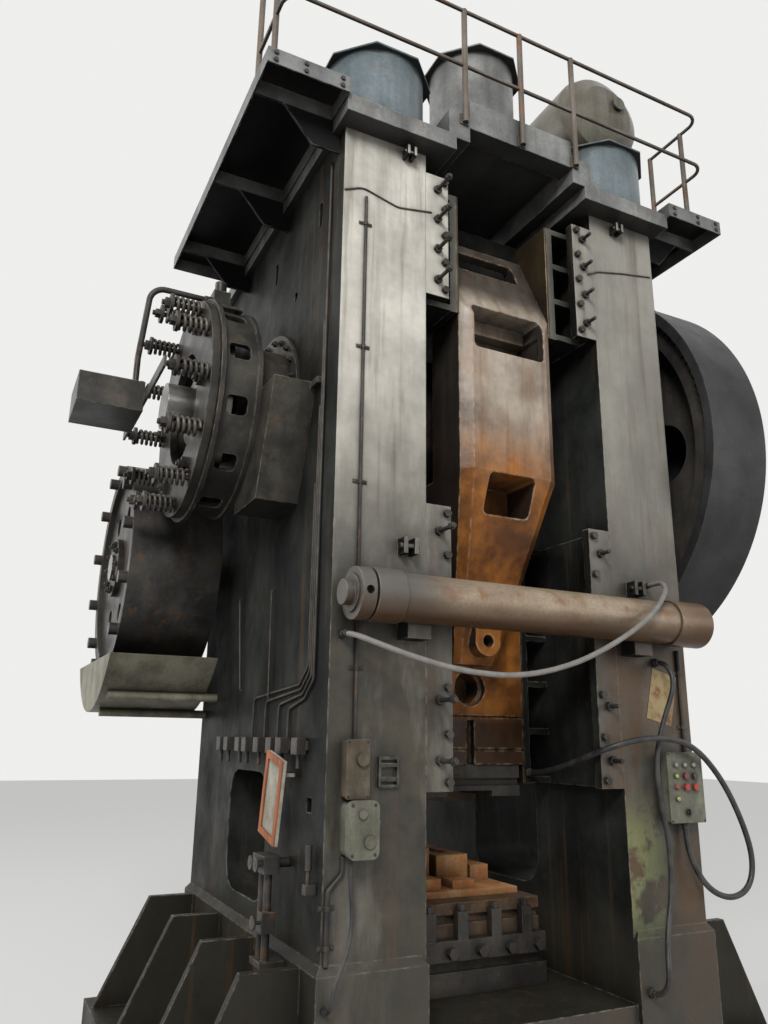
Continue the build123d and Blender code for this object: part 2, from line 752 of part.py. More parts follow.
# Eccentric shaft: journals in both columns, one eccentric between them, reduced ends
with BuildPart() as eccentric_shaft:
    for left, right, radius, centre_z in (
        (SHAFT_LEFT, -HALF_W - 80, 200, SHAFT_Z),
        (-HALF_W - 80, -HALF_OPENING + 20, JOURNAL_RADIUS, SHAFT_Z),
        (-HALF_OPENING + 20, -ECCENTRIC_WIDTH / 2, 380, SHAFT_Z),
        (-ECCENTRIC_WIDTH / 2, ECCENTRIC_WIDTH / 2, ECCENTRIC_RADIUS, CRANK_Z),
        (ECCENTRIC_WIDTH / 2, HALF_OPENING - 20, 380, SHAFT_Z),
        (HALF_OPENING - 20, HALF_W + 80, JOURNAL_RADIUS, SHAFT_Z),
        (HALF_W + 80, SHAFT_RIGHT, 240, SHAFT_Z),
    ):
        with BuildSketch(Plane.YZ.offset(left)):
            with Locations((0, centre_z)):
                Circle(radius)
        extrude(amount=right - left)
save(eccentric_shaft, "eccentric_shaft")

# Connecting rod: big end on the eccentric, tapering shank, small end with the wrist pin
with BuildPart() as connecting_rod:
    with BuildSketch(Plane.YZ):
        with Locations((0, CRANK_Z)):
            Circle(BIG_END_RADIUS)
            Circle(ECCENTRIC_RADIUS + FIT, mode=Mode.SUBTRACT)
    extrude(amount=BIG_END_WIDTH / 2, both=True)
    with BuildSketch(Plane.YZ):
        with BuildLine():
            Polyline(
                (-SHANK_TOP_HALF, CRANK_Z - 620),
                (SHANK_TOP_HALF, CRANK_Z - 620),
                (SHANK_LOW_HALF, WRIST_Z + 120),
                (-SHANK_LOW_HALF, WRIST_Z + 120),
                close=True,
            )
        make_face()
    extrude(amount=SHANK_THICKNESS / 2, both=True)
    with BuildSketch(Plane.YZ):
        with Locations((0, WRIST_Z)):
            Circle(SMALL_END_RADIUS)
    extrude(amount=SMALL_END_WIDTH / 2, both=True)
    with BuildSketch(Plane.YZ):
        with Locations((0, WRIST_Z)):
            Circle(PIN_RADIUS + FIT)
    extrude(amount=SMALL_END_WIDTH, both=True, mode=Mode.SUBTRACT)
save(connecting_rod, "connecting_rod")

with BuildPart() as wrist_pin:
    with BuildSketch(Plane.YZ):
        with Locations((0, WRIST_Z)):
            Circle(PIN_RADIUS)
    extrude(amount=PIN_LENGTH / 2, both=True)
save(wrist_pin, "wrist_pin")

# Slide: a block under the shaft, and a hollow trunk that rises in front of the shaft
with BuildPart() as slide:
    # Neck, lofted from the trunk's chamfered section down to its narrow foot
    for level, half_width, front, chamfer_x, chamfer_y in (
        (KINK_Z, TRUNK_WIDTH / 2, TRUNK_FRONT, TRUNK_CHAMFER_X, TRUNK_CHAMFER_Y),
        (NECK_FOOT_Z, NECK_FOOT_HALF, NECK_FOOT_Y, 0.6 * TRUNK_CHAMFER_X, 0.6 * TRUNK_CHAMFER_Y),
    ):
        with BuildSketch(Plane.XY.offset(level)):
            with BuildLine():
                Polyline(
                    (-half_width, NECK_REAR),
                    (-half_width, front + chamfer_y),
                    (-half_width + chamfer_x, front),
                    (half_width - chamfer_x, front),
                    (half_width, front + chamfer_y),
                    (half_width, NECK_REAR),
                    close=True,
                )
            make_face()
    loft(ruled=True)
    with BuildSketch(Plane.XY.offset(KINK_Z)):
        with BuildLine():
            Polyline(
                (-TRUNK_WIDTH / 2, TRUNK_REAR),
                (-TRUNK_WIDTH / 2, TRUNK_FRONT + TRUNK_CHAMFER_Y),
                (-TRUNK_WIDTH / 2 + TRUNK_CHAMFER_X, TRUNK_FRONT),
                (TRUNK_WIDTH / 2 - TRUNK_CHAMFER_X, TRUNK_FRONT),
                (TRUNK_WIDTH / 2, TRUNK_FRONT + TRUNK_CHAMFER_Y),
                (TRUNK_WIDTH / 2, TRUNK_REAR),
                close=True,
            )
        make_face()
    extrude(amount=TRUNK_TOP - KINK_Z)
    with BuildSketch(Plane.YZ):
        with BuildLine():
            Polyline(
                (TRUNK_FRONT, ROOF_START),
                (TRUNK_FRONT + ROOF_SETBACK, TRUNK_TOP),
                (TRUNK_FRONT, TRUNK_TOP),
                close=True,
            )
        make_face()
    extrude(amount=TRUNK_WIDTH, both=True, mode=Mode.SUBTRACT)
    with Locations((0, 0, (SLIDE_BOTTOM + SLIDE_BLOCK_TOP) / 2)):
        Box(SLIDE_BLOCK_WIDTH, SLIDE_BLOCK_DEPTH, SLIDE_BLOCK_TOP - SLIDE_BOTTOM)
    # Hollow core of the trunk, with its windows
    core_front = TRUNK_FRONT + TRUNK_WALL
    core_rear = TRUNK_REAR - TRUNK_WALL
    with Locations((0, (core_front + core_rear) / 2, (4600 + ROOF_START) / 2)):
        Box(
            TRUNK_WIDTH - 2 * TRUNK_WALL,
            core_rear - core_front,
            ROOF_START - 4600,
            mode=Mode.SUBTRACT,
        )
    for width, height, round_off, middle_z, rear in (
        (700, 410, 45, 5815, TRUNK_FRONT + 290),
        (440, 316, 45, 4393, core_rear),
        (640, 240, 40, 6620, TRUNK_REAR + 20),
    ):
        with BuildSketch(Plane.XZ.offset(-TRUNK_FRONT + 20)):
            with Locations((0, middle_z)):
                RectangleRounded(width, height, round_off)
        extrude(amount=TRUNK_FRONT - 20 - rear, mode=Mode.SUBTRACT)
    # Pocket for the connecting rod, and the wrist pin bores in its cheeks
    with Locations((0, 0, (POCKET_FLOOR + SLIDE_BLOCK_TOP) / 2)):
        Box(POCKET_WIDTH, POCKET_LENGTH, SLIDE_BLOCK_TOP - POCKET_FLOOR, mode=Mode.SUBTRACT)
    with BuildSketch(Plane.YZ):
        with Locations((0, WRIST_Z)):
            Circle(PIN_RADIUS)
    extrude(amount=SLIDE_BLOCK_WIDTH / 2, both=True, mode=Mode.SUBTRACT)
    # Lifting lug on the slope, round core hole, key groove and step lines of the front
    with BuildSketch(Plane.XZ.offset(900)):
        with Locations((0, 3265)):
            Circle(118)
        with Locations((0, 3330)):
            Rectangle(236, 130)
    extrude(amount=190)
    with BuildSketch(Plane.XZ.offset(940)):
        with Locations((0, 3268)):
            Circle(50)
    extrude(amount=200, mode=Mode.SUBTRACT)
    with BuildSketch(Plane.XZ.offset(SLIDE_BLOCK_DEPTH / 2)):
        with Locations((0, SLIDE_HOLE_Z)):
            Circle(SLIDE_HOLE_RADIUS)
        with Locations((0, (SLIDE_BOTTOM + KEYWAY_TOP) / 2)):
            Rectangle(KEYWAY_WIDTH, KEYWAY_TOP - SLIDE_BOTTOM)
    extrude(amount=-KEYWAY_DEPTH, mode=Mode.SUBTRACT)
    with BuildSketch(Plane.XZ.offset(SLIDE_BLOCK_DEPTH / 2 - KEYWAY_DEPTH)):
        with Locations((0, SLIDE_HOLE_Z)):
            Circle(SLIDE_HOLE_RADIUS - 25)
    extrude(amount=-190, mode=Mode.SUBTRACT)
    for groove_z in (2427, 2687):
        with Locations((0, -SLIDE_BLOCK_DEPTH / 2, groove_z)):
            Box(SLIDE_BLOCK_WIDTH, 24, 14, mode=Mode.SUBTRACT)
save(slide, "slide")

# Die holders and dies, clamped to the slide and to the bolster
with BuildPart() as upper_die_holder:
    with Locations((0, 0, (UPPER_HOLDER_BOTTOM + SLIDE_BOTTOM) / 2)):
        Box(UPPER_HOLDER_WIDTH, UPPER_HOLDER_DEPTH, SLIDE_BOTTOM - UPPER_HOLDER_BOTTOM)
    for side in (-1, 1):
        with Locations((0, side * UPPER_HOLDER_DEPTH / 2, UPPER_HOLDER_BOTTOM + 110)):
            Box(UPPER_HOLDER_WIDTH, 60, 60, mode=Mode.SUBTRACT)
    with BuildSketch(Plane.XZ.offset(-UPPER_HOLDER_DEPTH)):
        with Locations((0, UPPER_HOLDER_BOTTOM)):
            Rectangle(2 * 210, 2 * 44)
    extrude(amount=2 * UPPER_HOLDER_DEPTH, mode=Mode.SUBTRACT)
save(upper_die_holder, "upper_die_holder")

with BuildPart() as upper_dies:
    with BuildSketch(Plane.XZ):
        with Locations((0, UPPER_HOLDER_BOTTOM + 22)):
            Rectangle(420, 44)
        with Locations((-60, (UPPER_DIE_BOTTOM + UPPER_HOLDER_BOTTOM) / 2)):
            Rectangle(800, UPPER_HOLDER_BOTTOM - UPPER_DIE_BOTTOM)
    extrude(amount=DIE_DEPTH / 2, both=True)
    with BuildSketch(Plane.XY.offset(UPPER_DIE_BOTTOM)):
        with Locations((-280, 0)):
            Circle(100)
    extrude(amount=30, taper=20, mode=Mode.SUBTRACT)
save(upper_dies, "upper_dies")

with BuildPart() as bolster:
    with Locations((0, 0, (BED_TOP + BOLSTER_TOP) / 2)):
        Box(BOLSTER_WIDTH, BOLSTER_DEPTH, BOLSTER_TOP - BED_TOP)
    with Locations((0, 0, BED_TOP + 190)):
        for side in (-1, 1):
            with Locations((0, side * BOLSTER_DEPTH / 2)):
                Box(BOLSTER_WIDTH, 120, 70, mode=Mode.SUBTRACT)
save(bolster, "bolster")

with BuildPart() as lower_die_holder:
    with Locations((0, 0, (BOLSTER_TOP + LOWER_HOLDER_TOP) / 2)):
        Box(LOWER_HOLDER_WIDTH, LOWER_HOLDER_DEPTH, LOWER_HOLDER_TOP - BOLSTER_TOP)
    for side in (-1, 1):
        with Locations((0, side * LOWER_HOLDER_DEPTH / 2, BOLSTER_TOP + 130)):
            Box(LOWER_HOLDER_WIDTH, 70, 60, mode=Mode.SUBTRACT)
save(lower_die_holder, "lower_die_holder")

with BuildPart() as lower_dies:
    with Locations((0, 0, LOWER_HOLDER_TOP + 24)):
        Box(1040, 1300, 48)
    for mid_x, mid_y, width, depth, top in (
        (-280, 0, 340, DIE_DEPTH, DIE_TOP),
        (110, 0, 300, DIE_DEPTH, DIE_TOP - 65),
        (400, -60, 180, 420, DIE_TOP - 160),
        (-280, -480, 260, 180, DIE_TOP - 200),
        (60, -490, 200, 160, DIE_TOP - 220),
    ):
        with Locations((mid_x, mid_y, (LOWER_HOLDER_TOP + 40 + top) / 2)):
            Box(width, depth, top - LOWER_HOLDER_TOP - 40)
    with BuildSketch(Plane.XY.offset(DIE_TOP)):
        with Locations((-280, 0)):
            Circle(100)
    extrude(amount=-34, taper=20, mode=Mode.SUBTRACT)
    with BuildSketch(Plane.XY.offset(DIE_TOP - 65)):
        with Locations((110, 0)):
            SlotOverall(330, 110, rotation=90)
    extrude(amount=-26, taper=15, mode=Mode.SUBTRACT)
save(lower_dies, "lower_dies")

with BuildPart() as die_clamps:
    for clamp_x in (-430, -150, 150, 430):
        for side in (-1, 1):
            clamp_y = side * (LOWER_HOLDER_DEPTH / 2 + 35)
            with BuildSketch(Plane.XY.offset(BOLSTER_TOP)):
                with Locations((clamp_x, clamp_y)):
                    Rectangle(90, 70)
            extrude(amount=190)
            with BuildSketch(Plane.XY.offset(BOLSTER_TOP + 190)):
                with Locations((clamp_x, clamp_y)):
                    RegularPolygon(30, 6)
            extrude(amount=46)
    # Bolt heads of the bolster's front and rear
    for bolt_x in (-520, -260, 0, 260, 520):
        for side in (-1, 1):
            with BuildSketch(Plane.XZ.offset(side * BOLSTER_DEPTH / 2)):
                with Locations((bolt_x, BOLSTER_TOP - 80)):
                    RegularPolygon(42, 6)
            extrude(amount=side * 55)
save(die_clamps, "die_clamps")

# Shaft brake on the left end: fixed drum, disc on the shaft, sprung pressure ring
with BuildPart() as brake_housing:
    with BuildSketch(Plane.YZ.offset(BRAKE_RIGHT)):
        with Locations((0, SHAFT_Z)):
            Circle(BRAKE_RADIUS - 28)
            Circle(300, mode=Mode.SUBTRACT)
    extrude(amount=-40)
    with BuildSketch(Plane.YZ.offset(BRAKE_RIGHT)):
        with Locations((0, SHAFT_Z)):
            Circle(BRAKE_RADIUS - 45)
            Circle(BRAKE_RADIUS - 85, mode=Mode.SUBTRACT)
    extrude(amount=BRAKE_LEFT + 69 - BRAKE_RIGHT)
    with BuildSketch(Plane.YZ.offset(BRAKE_LEFT + 69)):
        with Locations((0, SHAFT_Z)):
            Circle(BRAKE_FLANGE_RADIUS)
            Circle(BRAKE_RADIUS - 85, mode=Mode.SUBTRACT)
    extrude(amount=36)
    # Neck between the drum and the bearing flange
    with BuildSketch(Plane.YZ.offset(BRAKE_RIGHT)):
        with Locations((0, SHAFT_Z)):
            Circle(640)
            Circle(560, mode=Mode.SUBTRACT)
    extrude(amount=-HALF_W - BEARING_FLANGE - BRAKE_RIGHT)
    # Inspection windows round the drum
    for k in range(SPRING_COUNT):
        angle = 15 + k * 360 / SPRING_COUNT
        a = radians(angle)
        with BuildSketch(
            Plane(
                origin=((BRAKE_RIGHT - 50 + BRAKE_LEFT + 105) / 2, 0, SHAFT_Z),
                x_dir=(1, 0, 0),
                z_dir=(0, cos(a), sin(a)),
            )
        ):
            RectangleRounded(170, 150, 40)
        extrude(amount=BRAKE_RADIUS + 20, mode=Mode.SUBTRACT)
save(brake_housing, "brake_housing")

with BuildPart() as brake_disc:
    for left, right, radius in (
        (DISC_LEFT, DISC_LEFT + DISC_THICKNESS, 800),
        (DISC_LEFT - 100, DISC_LEFT + DISC_THICKNESS + 100, 285),
    ):
        with BuildSketch(Plane.YZ.offset(left)):
            with Locations((0, SHAFT_Z)):
                Circle(radius)
                Circle(200, mode=Mode.SUBTRACT)
        extrude(amount=right - left)
save(brake_disc, "brake_disc")

# Pressure ring: an annulus with lugs, friction side to the disc
with BuildPart() as pressure_ring:
    with BuildSketch(Plane.YZ.offset(BRAKE_LEFT)):
        with Locations((0, SHAFT_Z)):
            Circle(BRAKE_RADIUS)
            Circle(480, mode=Mode.SUBTRACT)
            with PolarLocations(SPRING_CIRCLE, SPRING_COUNT, start_angle=STUD_ANGLE):
                Circle(STUD_RADIUS + 4, mode=Mode.SUBTRACT)
    extrude(amount=BRAKE_RING)
    with BuildSketch(Plane.YZ.offset(BRAKE_LEFT + BRAKE_RING)):
        with Locations((0, SHAFT_Z)):
            Circle(780)
            Circle(520, mode=Mode.SUBTRACT)
    extrude(amount=DISC_LEFT - 5 - BRAKE_LEFT - BRAKE_RING)
    with BuildSketch(Plane.YZ.offset(BRAKE_LEFT)):
        with Locations((0, SHAFT_Z)):
            with PolarLocations(700, 6):
                Rectangle(120, 70)
    extrude(amount=-50)
save(pressure_ring, "pressure_ring")

with BuildPart() as brake_studs:
    with BuildSketch(Plane.YZ.offset(BRAKE_LEFT + 69)):
        with Locations((0, SHAFT_Z)):
            with PolarLocations(SPRING_CIRCLE, SPRING_COUNT, start_angle=STUD_ANGLE):
                Circle(STUD_RADIUS)
    extrude(amount=STUD_TIP - BRAKE_LEFT - 69)
    with BuildSketch(Plane.YZ.offset(BRAKE_LEFT - SPRING_LENGTH)):
        with Locations((0, SHAFT_Z)):
            with PolarLocations(SPRING_CIRCLE, SPRING_COUNT, start_angle=STUD_ANGLE):
                Circle(SPRING_RADIUS + 8)
    extrude(amount=-26)
    with BuildSketch(Plane.YZ.offset(BRAKE_LEFT - SPRING_LENGTH - 26)):
        with Locations((0, SHAFT_Z)):
            with PolarLocations(SPRING_CIRCLE, SPRING_COUNT, start_angle=STUD_ANGLE):
                RegularPolygon(44, 6)
    extrude(amount=-40)
save(brake_studs, "brake_studs")

with BuildPart() as brake_springs:
    with BuildSketch(Plane.YZ.offset(BRAKE_LEFT)):
        with Locations((0, SHAFT_Z)):
            with PolarLocations(SPRING_CIRCLE, SPRING_COUNT, start_angle=STUD_ANGLE):
                Circle(SPRING_RADIUS)
                Circle(STUD_RADIUS + 4, mode=Mode.SUBTRACT)
    extrude(amount=-SPRING_LENGTH)
save(brake_springs, "brake_springs")

# Bracket that carries the brake drum on the side wall, and a ledge under its top
with BuildPart() as brake_bracket:
    with BuildSketch(Plane.YZ.offset(-HALF_W)):
        with BuildLine():
            Polyline((-320, 4245), (-865, 4245), (-1190, 5135), (-320, 5135), close=True)
        make_face()
    extrude(amount=BRAKE_RIGHT + FIT + HALF_W)
    for reach, radius in (
        (-BEARING_FLANGE - FIT, BEARING_FLANGE_RADIUS + 6),
        (BRAKE_RIGHT + HALF_W, 646),
    ):
        with BuildSketch(Plane.YZ.offset(-HALF_W)):
            with Locations((0, SHAFT_Z)):
                Circle(radius)
        extrude(amount=reach, mode=Mode.SUBTRACT)
    with Locations((-HALF_W - 25, -1205, 5110)):
        Box(50, 220, 50)
save(brake_bracket, "brake_bracket")

# Air valve on top of the brake, with its bracket and supply pipe
with BuildPart() as brake_valve:
    valve_z = SHAFT_Z + BRAKE_FLANGE_RADIUS
    with Locations((BRAKE_RIGHT - 175, -60, valve_z)):
        Box(360, 220, 24, align=(Align.CENTER, Align.CENTER, Align.MIN))
    with Locations((BRAKE_RIGHT - 20, 0, SHAFT_Z + BRAKE_RADIUS - 28)):
        Box(30, 60, 71, align=(Align.CENTER, Align.CENTER, Align.MIN))
    with Locations((BRAKE_RIGHT - 185, -60, valve_z + 24)):
        Box(150, 150, 150, align=(Align.CENTER, Align.CENTER, Align.MIN))
    with Locations((BRAKE_RIGHT - 185, -60, valve_z + 174)):
        Cylinder(52, 110, align=(Align.CENTER, Align.CENTER, Align.MIN))
    with Locations((BRAKE_RIGHT - 290, -60, valve_z + 90)):
        Cylinder(36, 70, rotation=(0, 90, 0))
save(brake_valve, "brake_valve")

# Ring gear drive on the right: wheel, clutch, pinion and sheet guard
LINE_ANGLE = degrees(atan2(RECEIVING_Z - SHAFT_Z, RECEIVING_Y))
with BuildPart() as gear_wheel:
    with BuildSketch(Plane.YZ.offset(GEAR_LEFT)):
        with BuildLine():
            Polyline(*gear_outline(GEAR_TEETH, LINE_ANGLE, 0, SHAFT_Z), close=True)
        make_face()
        with Locations((0, SHAFT_Z)):
            Circle(GEAR_PITCH - 150, mode=Mode.SUBTRACT)
    extrude(amount=GEAR_FACE)
    with BuildSketch(Plane.YZ.offset(GEAR_LEFT + GEAR_FACE / 2 - 60)):
        with Locations((0, SHAFT_Z)):
            Circle(GEAR_PITCH - 140)
            Circle(300, mode=Mode.SUBTRACT)
            with PolarLocations(1080, 6):
                Circle(300, mode=Mode.SUBTRACT)
    extrude(amount=120)
    with BuildSketch(Plane.YZ.offset(GEAR_LEFT)):
        with Locations((0, SHAFT_Z)):
            Circle(470)
            Circle(240 + RUN, mode=Mode.SUBTRACT)
    extrude(amount=GEAR_FACE)
save(gear_wheel, "gear_wheel")

with BuildPart() as clutch_hub:
    for left, right, radius in (
        (CLUTCH_LEFT, CLUTCH_LEFT + 60, 640),
        (CLUTCH_LEFT, CLUTCH_LEFT + 170, 420),
    ):
        with BuildSketch(Plane.YZ.offset(left)):
            with Locations((0, SHAFT_Z)):
                Circle(radius)
                Circle(240, mode=Mode.SUBTRACT)
        extrude(amount=right - left)
save(clutch_hub, "clutch_hub")

with BuildPart() as gear_guard:
    for inset in (0, GUARD_WALL):
        with BuildSketch(Plane.YZ.offset(GUARD_LEFT)):
            with Locations((0, SHAFT_Z)):
                Circle(GUARD_RADIUS - inset)
            with Locations((RECEIVING_Y, RECEIVING_Z)):
                Circle(PINION_PITCH + 130 - inset)
        extrude(
            amount=GUARD_RIGHT - GUARD_LEFT - inset,
            mode=Mode.SUBTRACT if inset else Mode.ADD,
        )
    with BuildSketch(Plane.YZ.offset(GUARD_LEFT)):
        with Locations((0, SHAFT_Z)):
            Circle(GUARD_RADIUS)
        with Locations((RECEIVING_Y, RECEIVING_Z)):
            Circle(PINION_PITCH + 130)
        with Locations((0, SHAFT_Z)):
            Circle(GUARD_RADIUS - 90, mode=Mode.SUBTRACT)
        with Locations((RECEIVING_Y, RECEIVING_Z)):
            Circle(PINION_PITCH + 60, mode=Mode.SUBTRACT)
    extrude(amount=GUARD_WALL)
    # Arms from the column to the guard's lip
    for arm_angle in (45, 135, 225, 315):
        a = radians(arm_angle)
        with BuildSketch(Plane.YZ.offset(HALF_W)):
            with Locations((1880 * cos(a), SHAFT_Z + 1880 * sin(a))):
                Rectangle(110, 70)
        extrude(amount=GUARD_LEFT - HALF_W)
save(gear_guard, "gear_guard")

# Receiving shaft across the back, with pinion, flywheel drum and two bearings
with BuildPart() as pinion_shaft:
    with BuildSketch(Plane.YZ.offset(DRUM_LEFT - 30)):
        with Locations((RECEIVING_Y, RECEIVING_Z)):
            Circle(RECEIVING_RADIUS)
    extrude(amount=GEAR_LEFT + GEAR_FACE + 60 - DRUM_LEFT + 30)
    with BuildSketch(Plane.YZ.offset(GEAR_LEFT - 10)):
        with BuildLine():
            Polyline(
                *gear_outline(PINION_TEETH, LINE_ANGLE + 189, RECEIVING_Y, RECEIVING_Z), close=True
            )
        make_face()
    extrude(amount=GEAR_FACE + 20)
save(pinion_shaft, "pinion_shaft")

with BuildPart() as receiving_bearings:
    for side in (-1, 1):
        with BuildSketch(Plane.YZ.offset(side * COLUMN_MID)):
            with BuildLine():
                Polyline(
                    (HALF_D, RECEIVING_Z - 420),
                    (HALF_D, RECEIVING_Z + 330),
                    (RECEIVING_Y + 90, RECEIVING_Z + 250),
                    (RECEIVING_Y + 250, RECEIVING_Z + 90),
                    (RECEIVING_Y + 250, RECEIVING_Z - 200),
                    close=True,
                )
            make_face()
            with Locations((RECEIVING_Y, RECEIVING_Z)):
                Circle(RECEIVING_RADIUS + FIT, mode=Mode.SUBTRACT)
        extrude(amount=150, both=True)
save(receiving_bearings, "receiving_bearings")

with BuildPart() as rear_drum:
    with BuildSketch(Plane.YZ.offset(DRUM_LEFT)):
        with Locations((RECEIVING_Y, RECEIVING_Z)):
            Circle(DRUM_RADIUS)
            Circle(DRUM_RADIUS - 130, mode=Mode.SUBTRACT)
    extrude(amount=DRUM_WIDTH)
    with BuildSketch(Plane.YZ.offset(DRUM_LEFT + 60)):
        with Locations((RECEIVING_Y, RECEIVING_Z)):
            Circle(DRUM_RADIUS - 120)
            Circle(RECEIVING_RADIUS, mode=Mode.SUBTRACT)
            with PolarLocations(560, 6):
                Circle(95, mode=Mode.SUBTRACT)
    extrude(amount=90)
    with BuildSketch(Plane.YZ.offset(DRUM_LEFT)):
        with Locations((RECEIVING_Y, RECEIVING_Z)):
            Circle(290)
            Circle(RECEIVING_RADIUS, mode=Mode.SUBTRACT)
    extrude(amount=420)
    # Sprung lugs round the outer rim
    with BuildSketch(Plane.YZ.offset(DRUM_LEFT)):
        with Locations((RECEIVING_Y, RECEIVING_Z)):
            with PolarLocations(DRUM_RADIUS - 62, 12, start_angle=15):
                Circle(55)
    extrude(amount=-80)
save(rear_drum, "rear_drum")

# Drip tray under the drum, hung from the side wall by two tubes
with BuildPart() as drip_tray:
    tray_width = TRAY_OUT - TRAY_GAP
    with BuildSketch(Plane.YZ.offset(TRAY_LEFT)):
        with Locations((RECEIVING_Y, RECEIVING_Z)):
            Circle(TRAY_RADIUS)
        with Locations((RECEIVING_Y, TRAY_TOP + TRAY_RADIUS)):
            Rectangle(2.2 * TRAY_RADIUS, 2 * TRAY_RADIUS, mode=Mode.SUBTRACT)
    extrude(amount=tray_width)
    with BuildSketch(Plane.YZ.offset(TRAY_LEFT + TRAY_WALL)):
        with Locations((RECEIVING_Y, RECEIVING_Z)):
            Circle(TRAY_RADIUS - TRAY_WALL)
    extrude(amount=tray_width - 2 * TRAY_WALL, mode=Mode.SUBTRACT)
    for tube_y in (RECEIVING_Y - 680, RECEIVING_Y - 300):
        tube_z = RECEIVING_Z - sqrt(TRAY_RADIUS**2 - (tube_y - RECEIVING_Y) ** 2) - 36
        with BuildSketch(Plane.YZ.offset(TRAY_LEFT + 60)):
            with Locations((tube_y, tube_z)):
                Circle(38)
        extrude(amount=-HALF_W - TRAY_LEFT - 60)
save(drip_tray, "drip_tray")

# Pipes of the left wall: oil lines from the corner down to the distributor, and air pipes
WALL = -HALF_W
with BuildPart() as oil_lines:
    for k in range(4):
        corner_y = -HALF_D + 230 + 34 * k
        end_y = DISTRIBUTOR_PORTS[3 - k]
        drop = DISTRIBUTOR_TOP + 260 + 34 * k
        top = (7000, 5600, 4900, 4300)[k]
        add(
            tube(
                [
                    (WALL - 14, corner_y, top),
                    (WALL - 14, corner_y, drop + 120),
                    (WALL - 14, corner_y + 160, drop),
                    (WALL - 14, end_y, drop - 60),
                    (WALL - 14, end_y, DISTRIBUTOR_TOP),
                ],
                9,
                60,
            )
        )
    for foot, head in (((276, 2880), (440, 3680)), ((-479, 2775), (-441, 3634))):
        add(
            tube(
                [
                    (WALL, head[0], head[1]),
                    (WALL - 30, head[0], head[1]),
                    (WALL - 30, foot[0], foot[1]),
                    (WALL, foot[0], foot[1]),
                ],
                7,
                20,
            )
        )
    # Distributor blocks with outlet fittings below
    with Locations((WALL - 8, -290, DISTRIBUTOR_TOP - 50)):
        Box(16, 2000, 60)
    for port_y in DISTRIBUTOR_PORTS + (650, 430, 100, -1230):
        with Locations((WALL - 16, port_y, DISTRIBUTOR_TOP)):
            Box(70, 110, 110, align=(Align.MAX, Align.CENTER, Align.MAX))
        with Locations((WALL - 50, port_y, DISTRIBUTOR_TOP - 110)):
            Cylinder(14, 90, align=(Align.CENTER, Align.CENTER, Align.MAX))
    # Two air pipes from the foot to a valve block, their clamp, and a greasing pin
    for pipe_y in (-945, -1050):
        add(bar([(AIR_PIPE_X, pipe_y, FOOT_THICKNESS), (AIR_PIPE_X, pipe_y, AIR_PIPE_TOP)], 27))
    add(bar([(WALL, -998, AIR_PIPE_TOP - 50), (AIR_PIPE_X, -998, AIR_PIPE_TOP - 50)], 32))
    with Locations((AIR_PIPE_X, -998, AIR_PIPE_TOP - 50)):
        Box(110, 240, 110)
    with Locations((AIR_PIPE_X, -1050, 1340)):
        Box(96, 96, 130)
    for wheel_y, wheel_z in ((-1050, 1340), (-945, AIR_PIPE_TOP - 50), (-1060, AIR_PIPE_TOP - 50)):
        add(bar([(AIR_PIPE_X, wheel_y, wheel_z), (AIR_PIPE_X - 100, wheel_y, wheel_z)], 12))
        add(bar([(AIR_PIPE_X - 86, wheel_y, wheel_z), (AIR_PIPE_X - 98, wheel_y, wheel_z)], 44))
    with Locations((WALL - PLINTH_PROUD, -998, 1093)):
        Box(170, 210, 40, align=(Align.MAX, Align.CENTER, Align.CENTER))
    pin_y = -HALF_D + 131
    with Locations((WALL, pin_y, 1590)):
        Box(70, 60, 60, align=(Align.MAX, Align.CENTER, Align.CENTER))
    for low, radius in ((1600, 13), (1700, 22)):
        add(bar([(WALL - 44, pin_y, low), (WALL - 44, pin_y, 1850)], radius))
save(oil_lines, "oil_lines")

# Conduits clipped on the column fronts, the thin wires over them, and the brake's air pipe
with BuildPart() as conduits:
    for pipe_x, low, high, radius in (
        (SWITCH_X + 10, SWITCH_Z + SWITCH_HEIGHT / 2, 6590, 12),
        (PANEL_X + 105, PANEL_Z + PANEL_HEIGHT / 2, 3230, 16),
    ):
        pipe_y = -HALF_D - radius - FIT
        add(bar([(pipe_x, pipe_y, low), (pipe_x, pipe_y, high)], radius))
    feed_y = -HALF_D - 14 - FIT
    add(
        tube(
            [
                (STARTER_X - 175, feed_y, FOOT_TOP + PLINTH_SLOPE),
                (STARTER_X - 175, feed_y, 1600),
                (STARTER_X - 80, feed_y, 1690),
                (STARTER_X - 80, feed_y, STARTER_Z - STARTER_HEIGHT / 2),
            ],
            14,
            60,
        )
    )
    wire_y = -HALF_D - WIRE_RADIUS - FIT
    for side, wire in (
        (-1, ((5, 6600), (161, 6670), (470, 6593), (780, 6650))),
        (1, ((790, 6540), (672, 6603), (373, 6670), (30, 6730))),
    ):
        add(tube([(side * (HALF_W - inset), wire_y, z) for inset, z in wire], WIRE_RADIUS, 150))
    valve_port = SHAFT_Z + BRAKE_FLANGE_RADIUS + 90
    add(
        tube(
            [
                (BRAKE_RIGHT - 325, -60, valve_port),
                (BRAKE_RIGHT - 785, -60, valve_port),
                (BRAKE_RIGHT - 825, 60, SHAFT_Z + 420),
                (BRAKE_RIGHT - 825, 60, SHAFT_Z + 130),
            ],
            26,
            130,
        )
    )
save(conduits, "conduits")

# Sheet-metal box of the cam switches, on a bar across the brake studs
with BuildPart() as shaft_end_box:
    with Locations((STUD_TIP - 10, 0, SHAFT_Z)):
        Box(20, 2 * SPRING_CIRCLE + 90, 90)
    with Locations((STUD_TIP - 20 - 260, 150, SHAFT_Z)):
        Box(520, 560, 260)
        Box(496, 536, 200, mode=Mode.SUBTRACT)
save(shaft_end_box, "shaft_end_box")

